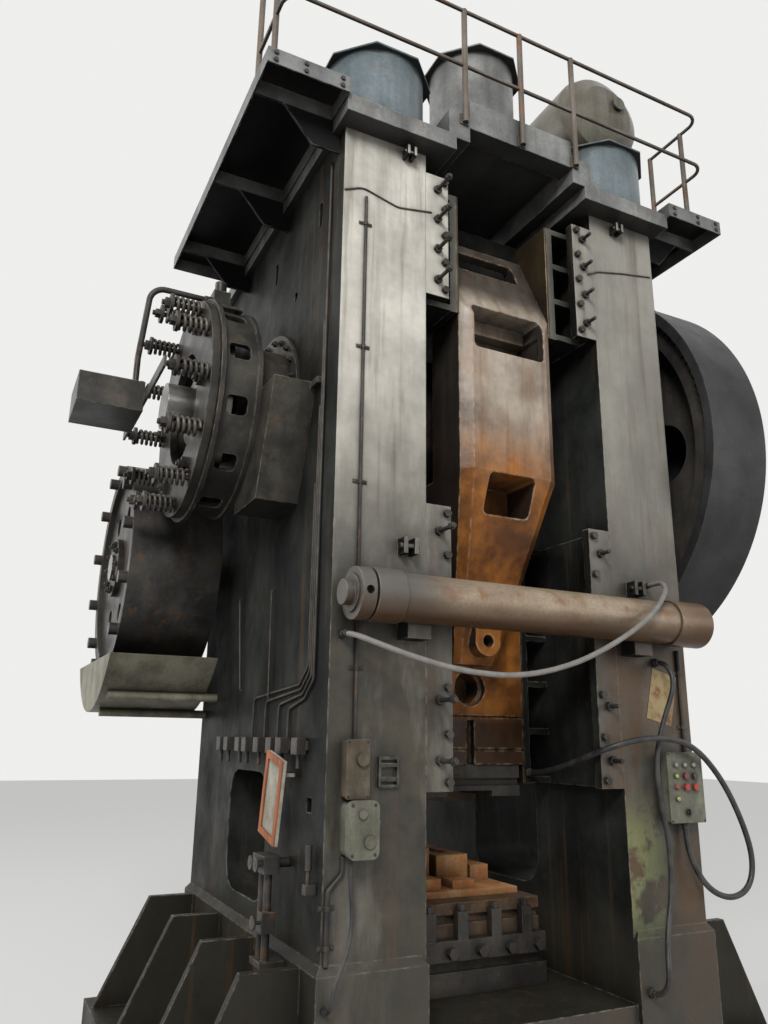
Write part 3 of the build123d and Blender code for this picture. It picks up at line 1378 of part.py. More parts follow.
# Boxes on the left column's front
with BuildPart() as switch_box:
    for start, thickness, over in ((HALF_D, 90, 0), (HALF_D + 90, 14, 12)):
        with BuildSketch(Plane.XZ.offset(start)):
            with Locations((SWITCH_X, SWITCH_Z)):
                RectangleRounded(SWITCH_WIDTH + over, SWITCH_HEIGHT + over, 14)
        extrude(amount=thickness)
    with BuildSketch(Plane.XZ.offset(HALF_D + 104)):
        with Locations((SWITCH_X + 23, SWITCH_Z + 57)):
            Circle(40)
    extrude(amount=26)
save(switch_box, "switch_box")

with BuildPart() as starter_box:
    for start, thickness, over in ((HALF_D, 110, 0), (HALF_D + 110, 40, 16)):
        with BuildSketch(Plane.XZ.offset(start)):
            with Locations((STARTER_X, STARTER_Z)):
                RectangleRounded(STARTER_WIDTH + over, STARTER_HEIGHT + over, 50)
        extrude(amount=thickness)
    with BuildSketch(Plane.XZ.offset(HALF_D + 150)):
        with Locations((STARTER_X - 10, STARTER_Z + 90)):
            Circle(28)
        with Locations((STARTER_X + 40, STARTER_Z - 71)):
            Circle(38)
    extrude(amount=12)
    with BuildSketch(Plane.YZ.offset(STARTER_X)):
        with Locations((LEVER_Y, LEVER_Z)):
            Circle(11)
    extrude(amount=146)
save(starter_box, "starter_box")

with BuildPart() as starter_lever:
    with BuildSketch(Plane.YZ.offset(STARTER_X + 114)):
        with Locations((LEVER_Y, LEVER_Z)):
            Circle(24)
        with Locations((LEVER_Y, LEVER_Z - 50)):
            Rectangle(22, 100)
        with Locations((LEVER_Y, LEVER_Z - 100)):
            Circle(16)
        with Locations((LEVER_Y, LEVER_Z)):
            Circle(11 + FIT, mode=Mode.SUBTRACT)
    extrude(amount=24)
save(starter_lever, "starter_lever")

# Push-button panel on the right column, with bored seats for its buttons and lamps
PANEL_FACE = HALF_D + PANEL_DEPTH
with BuildPart() as button_panel:
    with BuildSketch(Plane.XZ.offset(HALF_D)):
        with Locations((PANEL_X, PANEL_Z)):
            Rectangle(PANEL_WIDTH, PANEL_HEIGHT)
    extrude(amount=PANEL_DEPTH - 12)
    with BuildSketch(Plane.XZ.offset(PANEL_FACE - 12)):
        with Locations((PANEL_X, PANEL_Z)):
            RectangleRounded(PANEL_WIDTH + 20, PANEL_HEIGHT + 20, 10)
    extrude(amount=12)
    for start, radius, length, mode in (
        (PANEL_FACE, 30, 5, Mode.ADD),
        (PANEL_FACE + 5, BUTTON_STEM + FIT, -55, Mode.SUBTRACT),
    ):
        with BuildSketch(Plane.XZ.offset(start)):
            for across, up in BUTTONS.values():
                with Locations((PANEL_X + across, PANEL_Z + up)):
                    Circle(radius)
        extrude(amount=length, mode=mode)
    for start, radius, length, slope in ((PANEL_FACE, 20, 14, 0), (PANEL_FACE + 14, 15, 10, 15)):
        with BuildSketch(Plane.XZ.offset(start)):
            for across, up in LAMPS:
                with Locations((PANEL_X + across, PANEL_Z + up)):
                    Circle(radius)
        extrude(amount=length, taper=slope)
save(button_panel, "button_panel")

for name, (across, up) in BUTTONS.items():
    turning = name == "selector_knob"
    with BuildPart() as button:
        with BuildSketch(Plane.XZ.offset(PANEL_FACE + 5 + (FIT if turning else 8))):
            with Locations((PANEL_X + across, PANEL_Z + up)):
                Circle(24)
        extrude(amount=16)
        with BuildSketch(Plane.XZ.offset(PANEL_FACE - 30)):
            with Locations((PANEL_X + across, PANEL_Z + up)):
                Circle(BUTTON_STEM)
        extrude(amount=45)
        if turning:
            with Locations((PANEL_X + across, -PANEL_FACE - 26, PANEL_Z + up)):
                Box(12, 14, 44)
    save(button, name)

# Framed notice on the left wall, and a loose plate on the right column
with BuildPart() as notices:
    board = Plane(origin=(WALL - 110, -960, 2104), x_dir=(0, -1, 0), z_dir=(-1, 0, 0))
    with BuildSketch(board):
        Rectangle(340, 560, rotation=-12)
    extrude(amount=22)
    with BuildSketch(board.offset(22)):
        Rectangle(340, 560, rotation=-12)
        Rectangle(250, 470, rotation=-12, mode=Mode.SUBTRACT)
    extrude(amount=12)
    for hook_y in (-870, -1040):
        with Locations((WALL, hook_y, 2250)):
            Box(110, 24, 24, align=(Align.MAX, Align.CENTER, Align.CENTER))
    with BuildSketch(Plane.XZ.offset(HALF_D)):
        with Locations((HALF_W - 284, 2850)):
            Rectangle(260, 400, rotation=-14)
    extrude(amount=3)
save(notices, "notices")

# Free hoses and the cable of the starter box
cord(
    "tie_hose",
    [
        (-1500, -1600, 3170),
        (-1500, -1720, 3170),
        (-1380, -1850, 3100),
        (-1150, -1950, 3010),
        (-800, -2000, 2930),
        (-350, -2000, 2915),
        (100, -2030, 3020),
        (500, -2050, 3210),
        (800, -2060, 3400),
        (1030, -2010, 3610),
        (1160, -1860, 3730),
        (1190, -1720, 3740),
        (1190, -1600, 3740),
    ],
    19,
)
cord(
    "loop_hose",
    [
        (571, -780, 2250),
        (571, -930, 2250),
        (590, -1150, 2290),
        (590, -1450, 2370),
        (620, -1690, 2450),
        (830, -1790, 2520),
        (1120, -1800, 2540),
        (1420, -1790, 2480),
        (1700, -1770, 2240),
        (1880, -1770, 1930),
        (1970, -1770, 1640),
        (1900, -1770, 1430),
        (1700, -1760, 1360),
        (1500, -1730, 1440),
        (1410, -1680, 1630),
        (1400, -1650, 1800),
        (1400, -1650, 1920),
    ],
    22,
)
cord(
    "drop_hose",
    [
        (1250, -1600, 3120),
        (1250, -1676, 3120),
        (1250, -1750, 3078),
        (1250, -1792, 3004),
        (1240, -1795, 2890),
        (1160, -1740, 2650),
        (1085, -1715, 2380),
        (1100, -1710, 2080),
        (1170, -1710, 1760),
        (1150, -1710, 1420),
        (1050, -1740, 1180),
        (950, -1832, 1010),
        (950, -1832, 900),
        (950, -1790, 826),
        (950, -1716, 784),
        (950, -1640, 784),
    ],
    20,
)
cord(
    "starter_cable",
    [
        (-1440, -1680, 1790),
        (-1440, -1680, 1640),
        (-1425, -1700, 1460),
        (-1470, -1740, 1280),
        (-1560, -1760, 1120),
        (-1575, -1760, 1030),
        (-1575, -1733, 983),
        (-1575, -1686, 956),
        (-1575, -1640, 956),
    ],
    13,
)
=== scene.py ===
import bpy
import bmesh
import math
from mathutils import Matrix, Vector


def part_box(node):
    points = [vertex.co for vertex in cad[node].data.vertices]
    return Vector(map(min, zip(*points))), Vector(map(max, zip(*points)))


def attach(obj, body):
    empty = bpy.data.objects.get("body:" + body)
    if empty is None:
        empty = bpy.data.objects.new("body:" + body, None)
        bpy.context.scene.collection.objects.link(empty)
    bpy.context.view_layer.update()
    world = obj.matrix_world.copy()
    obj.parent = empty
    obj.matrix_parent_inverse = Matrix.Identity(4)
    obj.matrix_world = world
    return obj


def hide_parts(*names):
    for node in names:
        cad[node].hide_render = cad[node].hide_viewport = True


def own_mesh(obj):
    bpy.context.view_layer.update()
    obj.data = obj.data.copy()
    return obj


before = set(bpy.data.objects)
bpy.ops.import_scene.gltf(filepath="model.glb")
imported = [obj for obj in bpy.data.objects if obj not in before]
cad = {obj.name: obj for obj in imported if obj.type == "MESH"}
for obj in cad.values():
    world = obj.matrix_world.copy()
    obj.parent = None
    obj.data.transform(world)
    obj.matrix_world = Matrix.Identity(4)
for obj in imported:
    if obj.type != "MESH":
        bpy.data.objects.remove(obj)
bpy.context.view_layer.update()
print("frame loaded,", len(cad), "nodes")

# camera low in front of the left column, angles in degrees
cameraLook = {"place": (-3.675, -6.6, 2.5), "yaw": 26.296, "pitch": 15.58, "roll": 0.79, "lens": 28.598,
              "sensor": 36}


def makeCamera(look):
    yaw, pitch, roll = (math.radians(look[k]) for k in ("yaw", "pitch", "roll"))
    ahead = Vector((math.sin(yaw) * math.cos(pitch), math.cos(yaw) * math.cos(pitch), math.sin(pitch)))
    level = Vector((math.cos(yaw), -math.sin(yaw), 0))
    up = level.cross(ahead)
    right = math.cos(roll) * level + math.sin(roll) * up
    top = math.cos(roll) * up - math.sin(roll) * level
    data = bpy.data.cameras.new("pressCamera")
    data.lens = look["lens"]
    data.sensor_width = look["sensor"]
    camera = bpy.data.objects.new("pressCamera", data)
    bpy.context.scene.collection.objects.link(camera)
    camera.matrix_world = Matrix.Translation(look["place"]) @ Matrix((right, top, -ahead)).transposed().to_4x4()
    bpy.context.scene.camera = camera


makeCamera(cameraLook)
print("camera placed")


# materials, all procedural
def startMaterial(name):
    mat = bpy.data.materials.new(name)
    mat.use_nodes = True
    tree = mat.node_tree
    shader = tree.nodes["Principled BSDF"]
    return mat, tree, shader


def addNode(tree, kind, inputs=None, **settings):
    node = tree.nodes.new("ShaderNode" + kind)
    for key, value in settings.items():
        setattr(node, key, value)
    for key, value in (inputs or {}).items():
        if isinstance(value, bpy.types.NodeSocket):
            tree.links.new(value, node.inputs[key])
        else:
            node.inputs[key].default_value = value
    return node


def ranged(tree, value, low, high, **settings):
    return addNode(tree, "MapRange", {"Value": value, "From Min": low, "From Max": high}, **settings).outputs[0]


def cloud(tree, scale, low=0.4, high=0.6, detail=6, rough=0.6, stretch=(1, 1, 1), seed=0.0):
    # soft noise in the object's own place, stretched as the stains run
    coords = addNode(tree, "TexCoord")
    place = addNode(tree, "Mapping", {"Vector": coords.outputs["Object"], "Scale": stretch}).outputs[0]
    inputs = {"Vector": place, "Scale": scale, "Detail": detail, "Roughness": rough, "W": seed}
    noise = addNode(tree, "TexNoise", inputs, noise_dimensions="4D")
    return ranged(tree, noise.outputs[0], low, high)


def between(tree, factor, first, second):
    # a colour mix, where each of the three may be a socket or a value
    mix = addNode(tree, "Mix", data_type="RGBA")
    for socket, value in (("Factor", factor), ("A", first), ("B", second)):
        fitting = [s for s in mix.inputs if s.name == socket and s.enabled]
        slot = [s for s in fitting if s.type == "RGBA" or socket == "Factor"][0]
        if isinstance(value, bpy.types.NodeSocket):
            tree.links.new(value, slot)
        else:
            slot.default_value = value if socket == "Factor" else (*value, 1)
    return [s for s in mix.outputs if s.type == "RGBA"][0]


def sums(tree, operation, first, second=0.5, clamp=True):
    node = addNode(tree, "Math", {0: first, 1: second}, operation=operation, use_clamp=clamp)
    return node.outputs[0]


def both(tree, first, second):
    return sums(tree, "MULTIPLY", first, second)


def scaled(tree, value, factor, offset):
    node = addNode(tree, "Math", {0: value, 1: factor, 2: offset}, operation="MULTIPLY_ADD", use_clamp=True)
    return node.outputs[0]


def coated(tree, colour, coat, mask, amount):
    # the coat lies over the colour where the mask is, as thick as the amount
    return between(tree, both(tree, mask, amount), colour, coat)


def along(tree, axis, low, high):
    # grows from 0 to 1 between two places on an axis
    coords = addNode(tree, "TexCoord")
    split = addNode(tree, "SeparateXYZ", {0: coords.outputs["Object"]})
    return ranged(tree, split.outputs[axis], low, high, interpolation_type="SMOOTHSTEP")


def facing(tree, axis, low, high):
    # grows from 0 to 1 as the surface turns to an axis
    geometry = addNode(tree, "NewGeometry")
    split = addNode(tree, "SeparateXYZ", {0: geometry.outputs["Normal"]})
    return ranged(tree, split.outputs[axis], low, high)


def sideways(tree, axis, low, high):
    # the same for flat faces that look either way along the axis
    geometry = addNode(tree, "NewGeometry")
    split = addNode(tree, "SeparateXYZ", {0: geometry.outputs["True Normal"]})
    return ranged(tree, sums(tree, "ABSOLUTE", split.outputs[axis]), low, high)


# what every surface has unless its own look says otherwise
surfaceLook = {"under": (0.010, 0.010, 0.010), "underTurn": (-0.55, -0.9), "underAmount": 0.9,
               "edge": (0.3, 0.27, 0.23), "edgeTurn": (0.995, 0.86), "edgeBreak": 14, "edgeAmount": 0.6,
               "corner": (0.02, 0.018, 0.015), "cornerReach": 0.22, "cornerOpen": (0.95, 0.35),
               "cornerAmount": 0.75, "round": 0.012, "gloss": 3.0, "roughness": (0.35, 0.6), "metal": 0.0,
               "specular": 0.24, "grain": 90, "grainShare": 0.25, "lump": 7, "lumpShare": 0.75,
               "relief": 0.35, "reliefDepth": 0.012, "raySamples": 4}


def finishSurface(tree, shader, colour, own):
    # painted shade on faces that look down, worn edges, and dirt with painted shade in corners, then roughness
    # and relief
    look = {**surfaceLook, **own}
    # faces that look down are darkened with painted shade
    underneath = facing(tree, "Z", *look["underTurn"])
    colour = coated(tree, colour, look["under"], underneath, look["underAmount"])
    soft = addNode(tree, "Bevel", {"Radius": look["round"]}, samples=look["raySamples"])
    geometry = addNode(tree, "NewGeometry")
    bent = addNode(tree, "VectorMath", {0: soft.outputs[0], 1: geometry.outputs["Normal"]},
                   operation="DOT_PRODUCT")
    turned = ranged(tree, bent.outputs["Value"], *look["edgeTurn"])
    broken = cloud(tree, look["edgeBreak"], 0.42, 0.62, seed=3.0)
    colour = coated(tree, colour, look["edge"], both(tree, turned, broken), look["edgeAmount"])
    # corners and recesses found by ambient occlusion are darkened: dirt and painted shade
    corner = addNode(tree, "AmbientOcclusion", {"Distance": look["cornerReach"]}, samples=look["raySamples"])
    closed = ranged(tree, corner.outputs["AO"], *look["cornerOpen"])
    colour = coated(tree, colour, look["corner"], closed, look["cornerAmount"])
    tree.links.new(colour, shader.inputs["Base Color"])
    spreadRoughness(tree, shader, cloud(tree, look["gloss"], 0.3, 0.7, seed=5.0), look)
    shader.inputs["Metallic"].default_value = look["metal"]
    shader.inputs["Specular IOR Level"].default_value = look["specular"]
    grain = both(tree, cloud(tree, look["grain"], 0, 1, detail=3, seed=7.0), look["grainShare"])
    lump = both(tree, cloud(tree, look["lump"], 0, 1, detail=4, seed=9.0), look["lumpShare"])
    relief = sums(tree, "ADD", grain, lump, clamp=False)
    raiseRelief(tree, shader, relief, look, Normal=soft.outputs[0])


def spreadRoughness(tree, shader, mask, look):
    low, high = look["roughness"]
    rough = addNode(tree, "MapRange", {"Value": mask, "To Min": low, "To Max": high}).outputs[0]
    tree.links.new(rough, shader.inputs["Roughness"])


def raiseRelief(tree, shader, height, look, **more):
    inputs = {"Height": height, "Strength": look["relief"], "Distance": look["reliefDepth"], **more}
    tree.links.new(addNode(tree, "Bump", inputs).outputs[0], shader.inputs["Normal"])


# what every weathered paint or steel has unless its own look says otherwise
weatherLook = {"patch": 1.6, "streak": (6, 6, 0.45), "streakAmount": 0.6, "spot": 5.0, "rustAmount": 0.3,
               "speck": 45, "speckAmount": 0.25, "endAmount": 0.85, "leftZone": (-0.7, -1.2),
               "rightZone": (1.0, 1.5)}


def weathered(name, own):
    look = {**weatherLook, **own}
    mat, tree, shader = startMaterial(name)
    colour = between(tree, cloud(tree, look["patch"], 0.38, 0.62), look["paint"], look["faded"])
    streak = cloud(tree, 1.0, 0.45, 0.72, stretch=look["streak"], seed=1.0)
    colour = coated(tree, colour, look["run"], streak, look["streakAmount"])
    spots = cloud(tree, look["spot"], 0.54, 0.66, detail=8, rough=0.7, seed=2.0)
    colour = coated(tree, colour, look["rust"], spots, look["rustAmount"])
    speckle = cloud(tree, look["speck"], 0.35, 0.7, detail=2, seed=4.0)
    colour = coated(tree, colour, look["run"], speckle, look["speckAmount"])
    # painted shade: everything below the given height takes the dark run colour
    if "shadeBelow" in look:
        colour = between(tree, along(tree, "Z", *look["shadeBelow"]), colour, look["run"])
    if "leftEnd" in look:
        colour = coated(tree, colour, look["leftEnd"], along(tree, "X", *look["leftZone"]), look["endAmount"])
        colour = coated(tree, colour, look["rightEnd"], along(tree, "X", *look["rightZone"]), look["endAmount"])
    finishSurface(tree, shader, colour, look)
    return mat


looks = {
    "capPaint": {"paint": (0.17, 0.175, 0.17), "faded": (0.34, 0.34, 0.325), "run": (0.035, 0.037, 0.04),
                 "patch": 2.2, "rust": (0.14, 0.085, 0.05), "rustAmount": 0.35, "edge": (0.46, 0.46, 0.44),
                 "edgeAmount": 0.8, "roughness": (0.25, 0.5)},
    "coverPaint": {"paint": (0.14, 0.18, 0.195), "faded": (0.24, 0.29, 0.31), "run": (0.035, 0.04, 0.045),
                   "rust": (0.13, 0.09, 0.06), "rustAmount": 0.35, "streak": (5, 5, 0.8),
                   "roughness": (0.22, 0.42), "edge": (0.42, 0.45, 0.45)},
    # below its top the platform is painted dark as shade
    "platformPaint": {"paint": (0.16, 0.165, 0.165), "faded": (0.32, 0.32, 0.31), "run": (0.014, 0.014, 0.015),
                      "patch": 2.2, "rust": (0.12, 0.08, 0.05), "rustAmount": 0.3, "edge": (0.42, 0.42, 0.40),
                      "shadeBelow": (7.31, 7.29), "streakAmount": 0.35, "speckAmount": 0.1, "underAmount": 1.0,
                      "under": (0.004, 0.004, 0.005), "specular": 0.08},
    "railPaint": {"paint": (0.13, 0.10, 0.075), "faded": (0.24, 0.21, 0.175), "run": (0.04, 0.032, 0.026),
                  "rust": (0.30, 0.115, 0.045), "rustAmount": 0.9, "spot": 3.5, "round": 0.003},
    "receiverPaint": {"paint": (0.13, 0.12, 0.09), "faded": (0.22, 0.205, 0.165), "run": (0.045, 0.04, 0.032),
                      "rust": (0.17, 0.10, 0.055), "rustAmount": 0.4, "roughness": (0.22, 0.42)},
    "gibPaint": {"paint": (0.030, 0.030, 0.030), "faded": (0.085, 0.080, 0.072), "run": (0.010, 0.010, 0.010),
                 "patch": 3.0, "rust": (0.22, 0.10, 0.04), "rustAmount": 0.5, "spot": 7,
                 "edge": (0.30, 0.22, 0.14), "edgeAmount": 0.8, "roughness": (0.25, 0.5)},
    "brakePaint": {"paint": (0.032, 0.031, 0.028), "faded": (0.090, 0.083, 0.070), "run": (0.016, 0.016, 0.015),
                   "patch": 3.5, "rust": (0.15, 0.105, 0.065), "rustAmount": 0.5, "edge": (0.40, 0.36, 0.29),
                   "edgeAmount": 0.9, "roughness": (0.25, 0.5)},
    "guardPaint": {"paint": (0.022, 0.023, 0.025), "faded": (0.055, 0.055, 0.056), "run": (0.010, 0.010, 0.010),
                   "rust": (0.07, 0.05, 0.035), "rustAmount": 0.35, "roughness": (0.35, 0.55),
                   "streak": (2, 3, 0.8), "edge": (0.22, 0.21, 0.19)},
    "trayPaint": {"paint": (0.20, 0.195, 0.14), "faded": (0.36, 0.34, 0.25), "run": (0.04, 0.036, 0.028),
                  "underAmount": 0.35, "rust": (0.14, 0.085, 0.045), "rustAmount": 0.6, "streak": (4, 4, 1.0),
                  "streakAmount": 0.8},
    "switchPaint": {"paint": (0.10, 0.082, 0.058), "faded": (0.19, 0.155, 0.11), "run": (0.03, 0.026, 0.02),
                    "rust": (0.15, 0.08, 0.045), "rustAmount": 0.5, "patch": 5, "spot": 16, "round": 0.006,
                    "reliefDepth": 0.003, "cornerReach": 0.06, "streak": (10, 10, 2),
                    "edge": (0.34, 0.29, 0.22), "roughness": (0.3, 0.5)},
    "boxPaint": {"paint": (0.155, 0.16, 0.115), "faded": (0.27, 0.265, 0.205), "run": (0.035, 0.033, 0.028),
                 "rust": (0.15, 0.09, 0.05), "rustAmount": 0.4, "patch": 5, "spot": 16, "round": 0.006,
                 "reliefDepth": 0.003, "cornerReach": 0.05, "edge": (0.42, 0.39, 0.33)},
    "oiledBronze": {"paint": (0.060, 0.045, 0.028), "faded": (0.15, 0.105, 0.055), "run": (0.018, 0.014, 0.010),
                    "rust": (0.07, 0.045, 0.025), "metal": 0.6, "roughness": (0.25, 0.45)},
    "blackSteel": {"paint": (0.040, 0.038, 0.036), "faded": (0.11, 0.10, 0.088), "run": (0.013, 0.013, 0.012),
                   "rust": (0.17, 0.085, 0.04), "rustAmount": 0.45, "metal": 0.3, "spot": 11, "round": 0.005,
                   "cornerReach": 0.08, "reliefDepth": 0.004, "edge": (0.35, 0.31, 0.26)},
    "barSteel": {"paint": (0.33, 0.245, 0.165), "faded": (0.47, 0.38, 0.28), "run": (0.075, 0.045, 0.026),
                 "rust": (0.29, 0.145, 0.065), "rustAmount": 0.7, "streak": (0.7, 5, 5), "metal": 0.15,
                 "leftEnd": (0.115, 0.12, 0.118), "rightEnd": (0.15, 0.09, 0.05),
                 "under": (0.085, 0.042, 0.018), "underTurn": (0.15, -0.75), "underAmount": 0.92,
                 "roughness": (0.25, 0.45), "relief": 0.25, "patch": 2.5, "edge": (0.6, 0.52, 0.42)},
    "springSteel": {"paint": (0.075, 0.07, 0.062), "faded": (0.16, 0.145, 0.12), "run": (0.02, 0.02, 0.019),
                    "metal": 0.3, "rust": (0.17, 0.10, 0.055), "rustAmount": 0.5, "spot": 14, "round": 0.003,
                    "cornerReach": 0.03, "reliefDepth": 0.002},
    "turnedSteel": {"paint": (0.33, 0.32, 0.30), "faded": (0.45, 0.44, 0.42), "run": (0.07, 0.06, 0.05),
                    "rust": (0.16, 0.10, 0.06), "rustAmount": 0.25, "streak": (0.6, 9, 9), "metal": 0.9,
                    "roughness": (0.2, 0.4), "relief": 0.1},
    "dieSteel": {"paint": (0.085, 0.055, 0.035), "faded": (0.19, 0.12, 0.07), "run": (0.022, 0.016, 0.012),
                 "rust": (0.30, 0.13, 0.05), "rustAmount": 0.75, "spot": 6, "edge": (0.42, 0.27, 0.15),
                 "edgeAmount": 0.9, "patch": 4},
    "hotDie": {"paint": (0.78, 0.32, 0.11), "faded": (0.92, 0.55, 0.27), "run": (0.13, 0.05, 0.02),
               "rust": (0.62, 0.26, 0.07), "rustAmount": 0.6, "patch": 6, "spot": 9, "edge": (0.80, 0.55, 0.33),
               "edgeAmount": 0.9, "roughness": (0.55, 0.8), "reliefDepth": 0.02, "under": (0.2, 0.08, 0.03)},
}
finishes = {name: weathered(name, look) for name, look in looks.items()}


# the frame's own paint: bright and worn high on the fronts, where the brightness is partly a painted reflection
# of light, brown at the feet, oily dark paint on the side walls with painted shade there and on the inner faces
frameLook = {"front": (0.46, 0.44, 0.385), "frontFaded": (0.74, 0.71, 0.63), "frontSoot": (0.10, 0.095, 0.08),
             "low": (0.030, 0.028, 0.021), "lowFaded": (0.085, 0.074, 0.053), "rightSide": (0.16, 0.155, 0.13),
             "side": (0.014, 0.016, 0.015), "sideFaded": (0.042, 0.045, 0.040),
             "sideOil": (0.005, 0.005, 0.005), "lime": (0.25, 0.285, 0.125), "drip": (0.11, 0.062, 0.030),
             "base": (0.052, 0.047, 0.035), "brightZone": (2.9, 6.0), "ragged": (0.7, -0.35),
             "rightZone": (0.3, 0.9), "rustZone": (4.2, 3.0), "rustWidth": (-1.0, 1.4),
             "plinth": (1.45, 1.05), "frontTurn": (-0.45, -0.7), "frontPlane": (-1.42, -1.5),
             "limeTop": (2.2, 1.75), "limeFoot": (1.0, 1.4), "limeLeft": (0.75, 0.85), "limeRight": (1.35, 1.0),
             "shine": (0.35, 0.07), "rightAmount": 0.68, "sootAmount": 0.5, "oilAmount": 0.85,
             "baseAmount": 0.6, "limeAmount": 0.7, "dripAmount": 0.5, "edge": (0.46, 0.43, 0.36),
             "edgeAmount": 0.7, "corner": (0.008, 0.0075, 0.007), "roughness": (0.32, 0.6), "relief": 0.6,
             "reliefDepth": 0.016, "round": 0.016}


def framePaint(look):
    mat, tree, shader = startMaterial("framePaint")
    patches = cloud(tree, 1.7, 0.38, 0.62, detail=9, rough=0.65)
    high = between(tree, patches, look["front"], look["frontFaded"])
    high = coated(tree, high, look["rightSide"], along(tree, "X", *look["rightZone"]), look["rightAmount"])
    runs = cloud(tree, 1.0, 0.48, 0.72, stretch=(5, 5, 0.5), seed=1.0)
    high = coated(tree, high, look["frontSoot"], runs, look["sootAmount"])
    low = between(tree, patches, look["low"], look["lowFaded"])
    ragged = scaled(tree, cloud(tree, 1.0, 0.3, 0.7, stretch=(2.5, 2.5, 0.6), seed=12.0), *look["ragged"])
    # the fronts go from dark low to bright high: brown dirt at the feet, and a painted reflection of light high
    # up
    front = between(tree, sums(tree, "ADD", along(tree, "Z", *look["brightZone"]), ragged), low, high)
    rusty = cloud(tree, 1.3, 0.45, 0.62, detail=9, stretch=(1.6, 1.6, 0.8), seed=15.0)
    rusty = both(tree, rusty, along(tree, "Z", *look["rustZone"]))
    front = coated(tree, front, look["drip"], rusty, along(tree, "X", *look["rustWidth"]))
    # everything off the front plane, side walls, inner faces and undersides, gets the side colour: dark paint
    # with painted shade
    side = between(tree, patches, look["side"], look["sideFaded"])
    wet = cloud(tree, 0.8, 0.42, 0.6, stretch=(2, 2, 0.8), seed=6.0)
    side = coated(tree, side, look["sideOil"], wet, look["oilAmount"])
    outward = both(tree, facing(tree, "Y", *look["frontTurn"]), along(tree, "Y", *look["frontPlane"]))
    colour = between(tree, outward, side, front)
    # the plinth is brown with dust, and old lime paint shows on the right column's foot
    colour = coated(tree, colour, look["base"], along(tree, "Z", *look["plinth"]), look["baseAmount"])
    lime = cloud(tree, 2.4, 0.44, 0.50, detail=12, rough=0.72, seed=8.0)
    limeHeight = both(tree, along(tree, "Z", *look["limeTop"]), along(tree, "Z", *look["limeFoot"]))
    limeWidth = both(tree, along(tree, "X", *look["limeLeft"]), along(tree, "X", *look["limeRight"]))
    limeZone = both(tree, both(tree, limeHeight, limeWidth), outward)
    colour = coated(tree, colour, look["lime"], both(tree, lime, limeZone), look["limeAmount"])
    drips = cloud(tree, 1.0, 0.55, 0.7, stretch=(11, 11, 0.5), seed=11.0)
    colour = coated(tree, colour, look["drip"], drips, look["dripAmount"])
    finishSurface(tree, shader, colour, look)
    # the clean front shines, the sooty walls don't
    tree.links.new(scaled(tree, outward, *look["shine"]), shader.inputs["Specular IOR Level"])
    return mat


# the slide: worn grey-beige on the trunk, orange heat scale from the kink down, with painted shade on its side
# faces and on its top under the crown
slideLook = {"worn": (0.27, 0.225, 0.175), "wornFaded": (0.52, 0.45, 0.37), "rust": (0.44, 0.165, 0.032),
             "rustDark": (0.13, 0.047, 0.014), "soot": (0.022, 0.018, 0.015), "side": (0.016, 0.015, 0.014),
             "warmZone": (5.3, 4.35), "tongueAmount": 0.4, "runAmount": 0.65, "sootAmount": 0.55,
             "sideTurn": (0.8, 0.95), "sideShadeAmount": 0.92, "topShadeZone": (6.05, 6.3), "topShadeAmount": 0.8,
             "footZone": (2.74, 2.62), "footAmount": 0.85, "edge": (0.74, 0.56, 0.38), "edgeAmount": 1.0,
             "roughness": (0.25, 0.5), "relief": 0.5, "reliefDepth": 0.014, "round": 0.024, "underAmount": 0.3}


def slidePaint(look):
    mat, tree, shader = startMaterial("slideScale")
    upper = cloud(tree, 2.2, 0.38, 0.62, detail=9, rough=0.65)
    upper = between(tree, upper, look["worn"], look["wornFaded"])
    lower = cloud(tree, 2.6, 0.4, 0.62, detail=9, rough=0.65, seed=2.0)
    lower = between(tree, lower, look["rust"], look["rustDark"])
    tongues = both(tree, cloud(tree, 2.0, 0.5, 0.7, stretch=(3, 3, 0.7)), look["tongueAmount"])
    warm = sums(tree, "ADD", along(tree, "Z", *look["warmZone"]), tongues)
    colour = between(tree, warm, upper, lower)
    runs = cloud(tree, 1.0, 0.47, 0.68, stretch=(8, 8, 0.5), seed=1.0)
    colour = coated(tree, colour, look["rustDark"], runs, look["runAmount"])
    colour = coated(tree, colour, look["soot"], cloud(tree, 1.4, 0.52, 0.66, seed=3.0), look["sootAmount"])
    # painted shade: the side faces and the top under the crown take the dark side colour
    colour = coated(tree, colour, look["side"], sideways(tree, "X", *look["sideTurn"]), look["sideShadeAmount"])
    colour = coated(tree, colour, look["side"], along(tree, "Z", *look["topShadeZone"]), look["topShadeAmount"])
    colour = coated(tree, colour, look["soot"], along(tree, "Z", *look["footZone"]), look["footAmount"])
    finishSurface(tree, shader, colour, look)
    return mat


# the notice: a painted wooden frame, a pale sheet in it, and the tan loose plate of the right column
noticeLook = {"wood": (0.50, 0.17, 0.07), "woodDark": (0.24, 0.10, 0.05), "sheet": (0.50, 0.47, 0.40),
              "sheetStain": (0.27, 0.24, 0.18), "plate": (0.42, 0.33, 0.17), "edge": (0.55, 0.40, 0.28),
              "edgeAmount": 0.6, "round": 0.004, "cornerReach": 0.05, "reliefDepth": 0.002,
              "roughness": (0.5, 0.75), "corner": (0.06, 0.04, 0.03), "lump": 30,
              "sheetFace": (-1.7228, -1.7222), "plateSide": (-0.1, 0.1)}


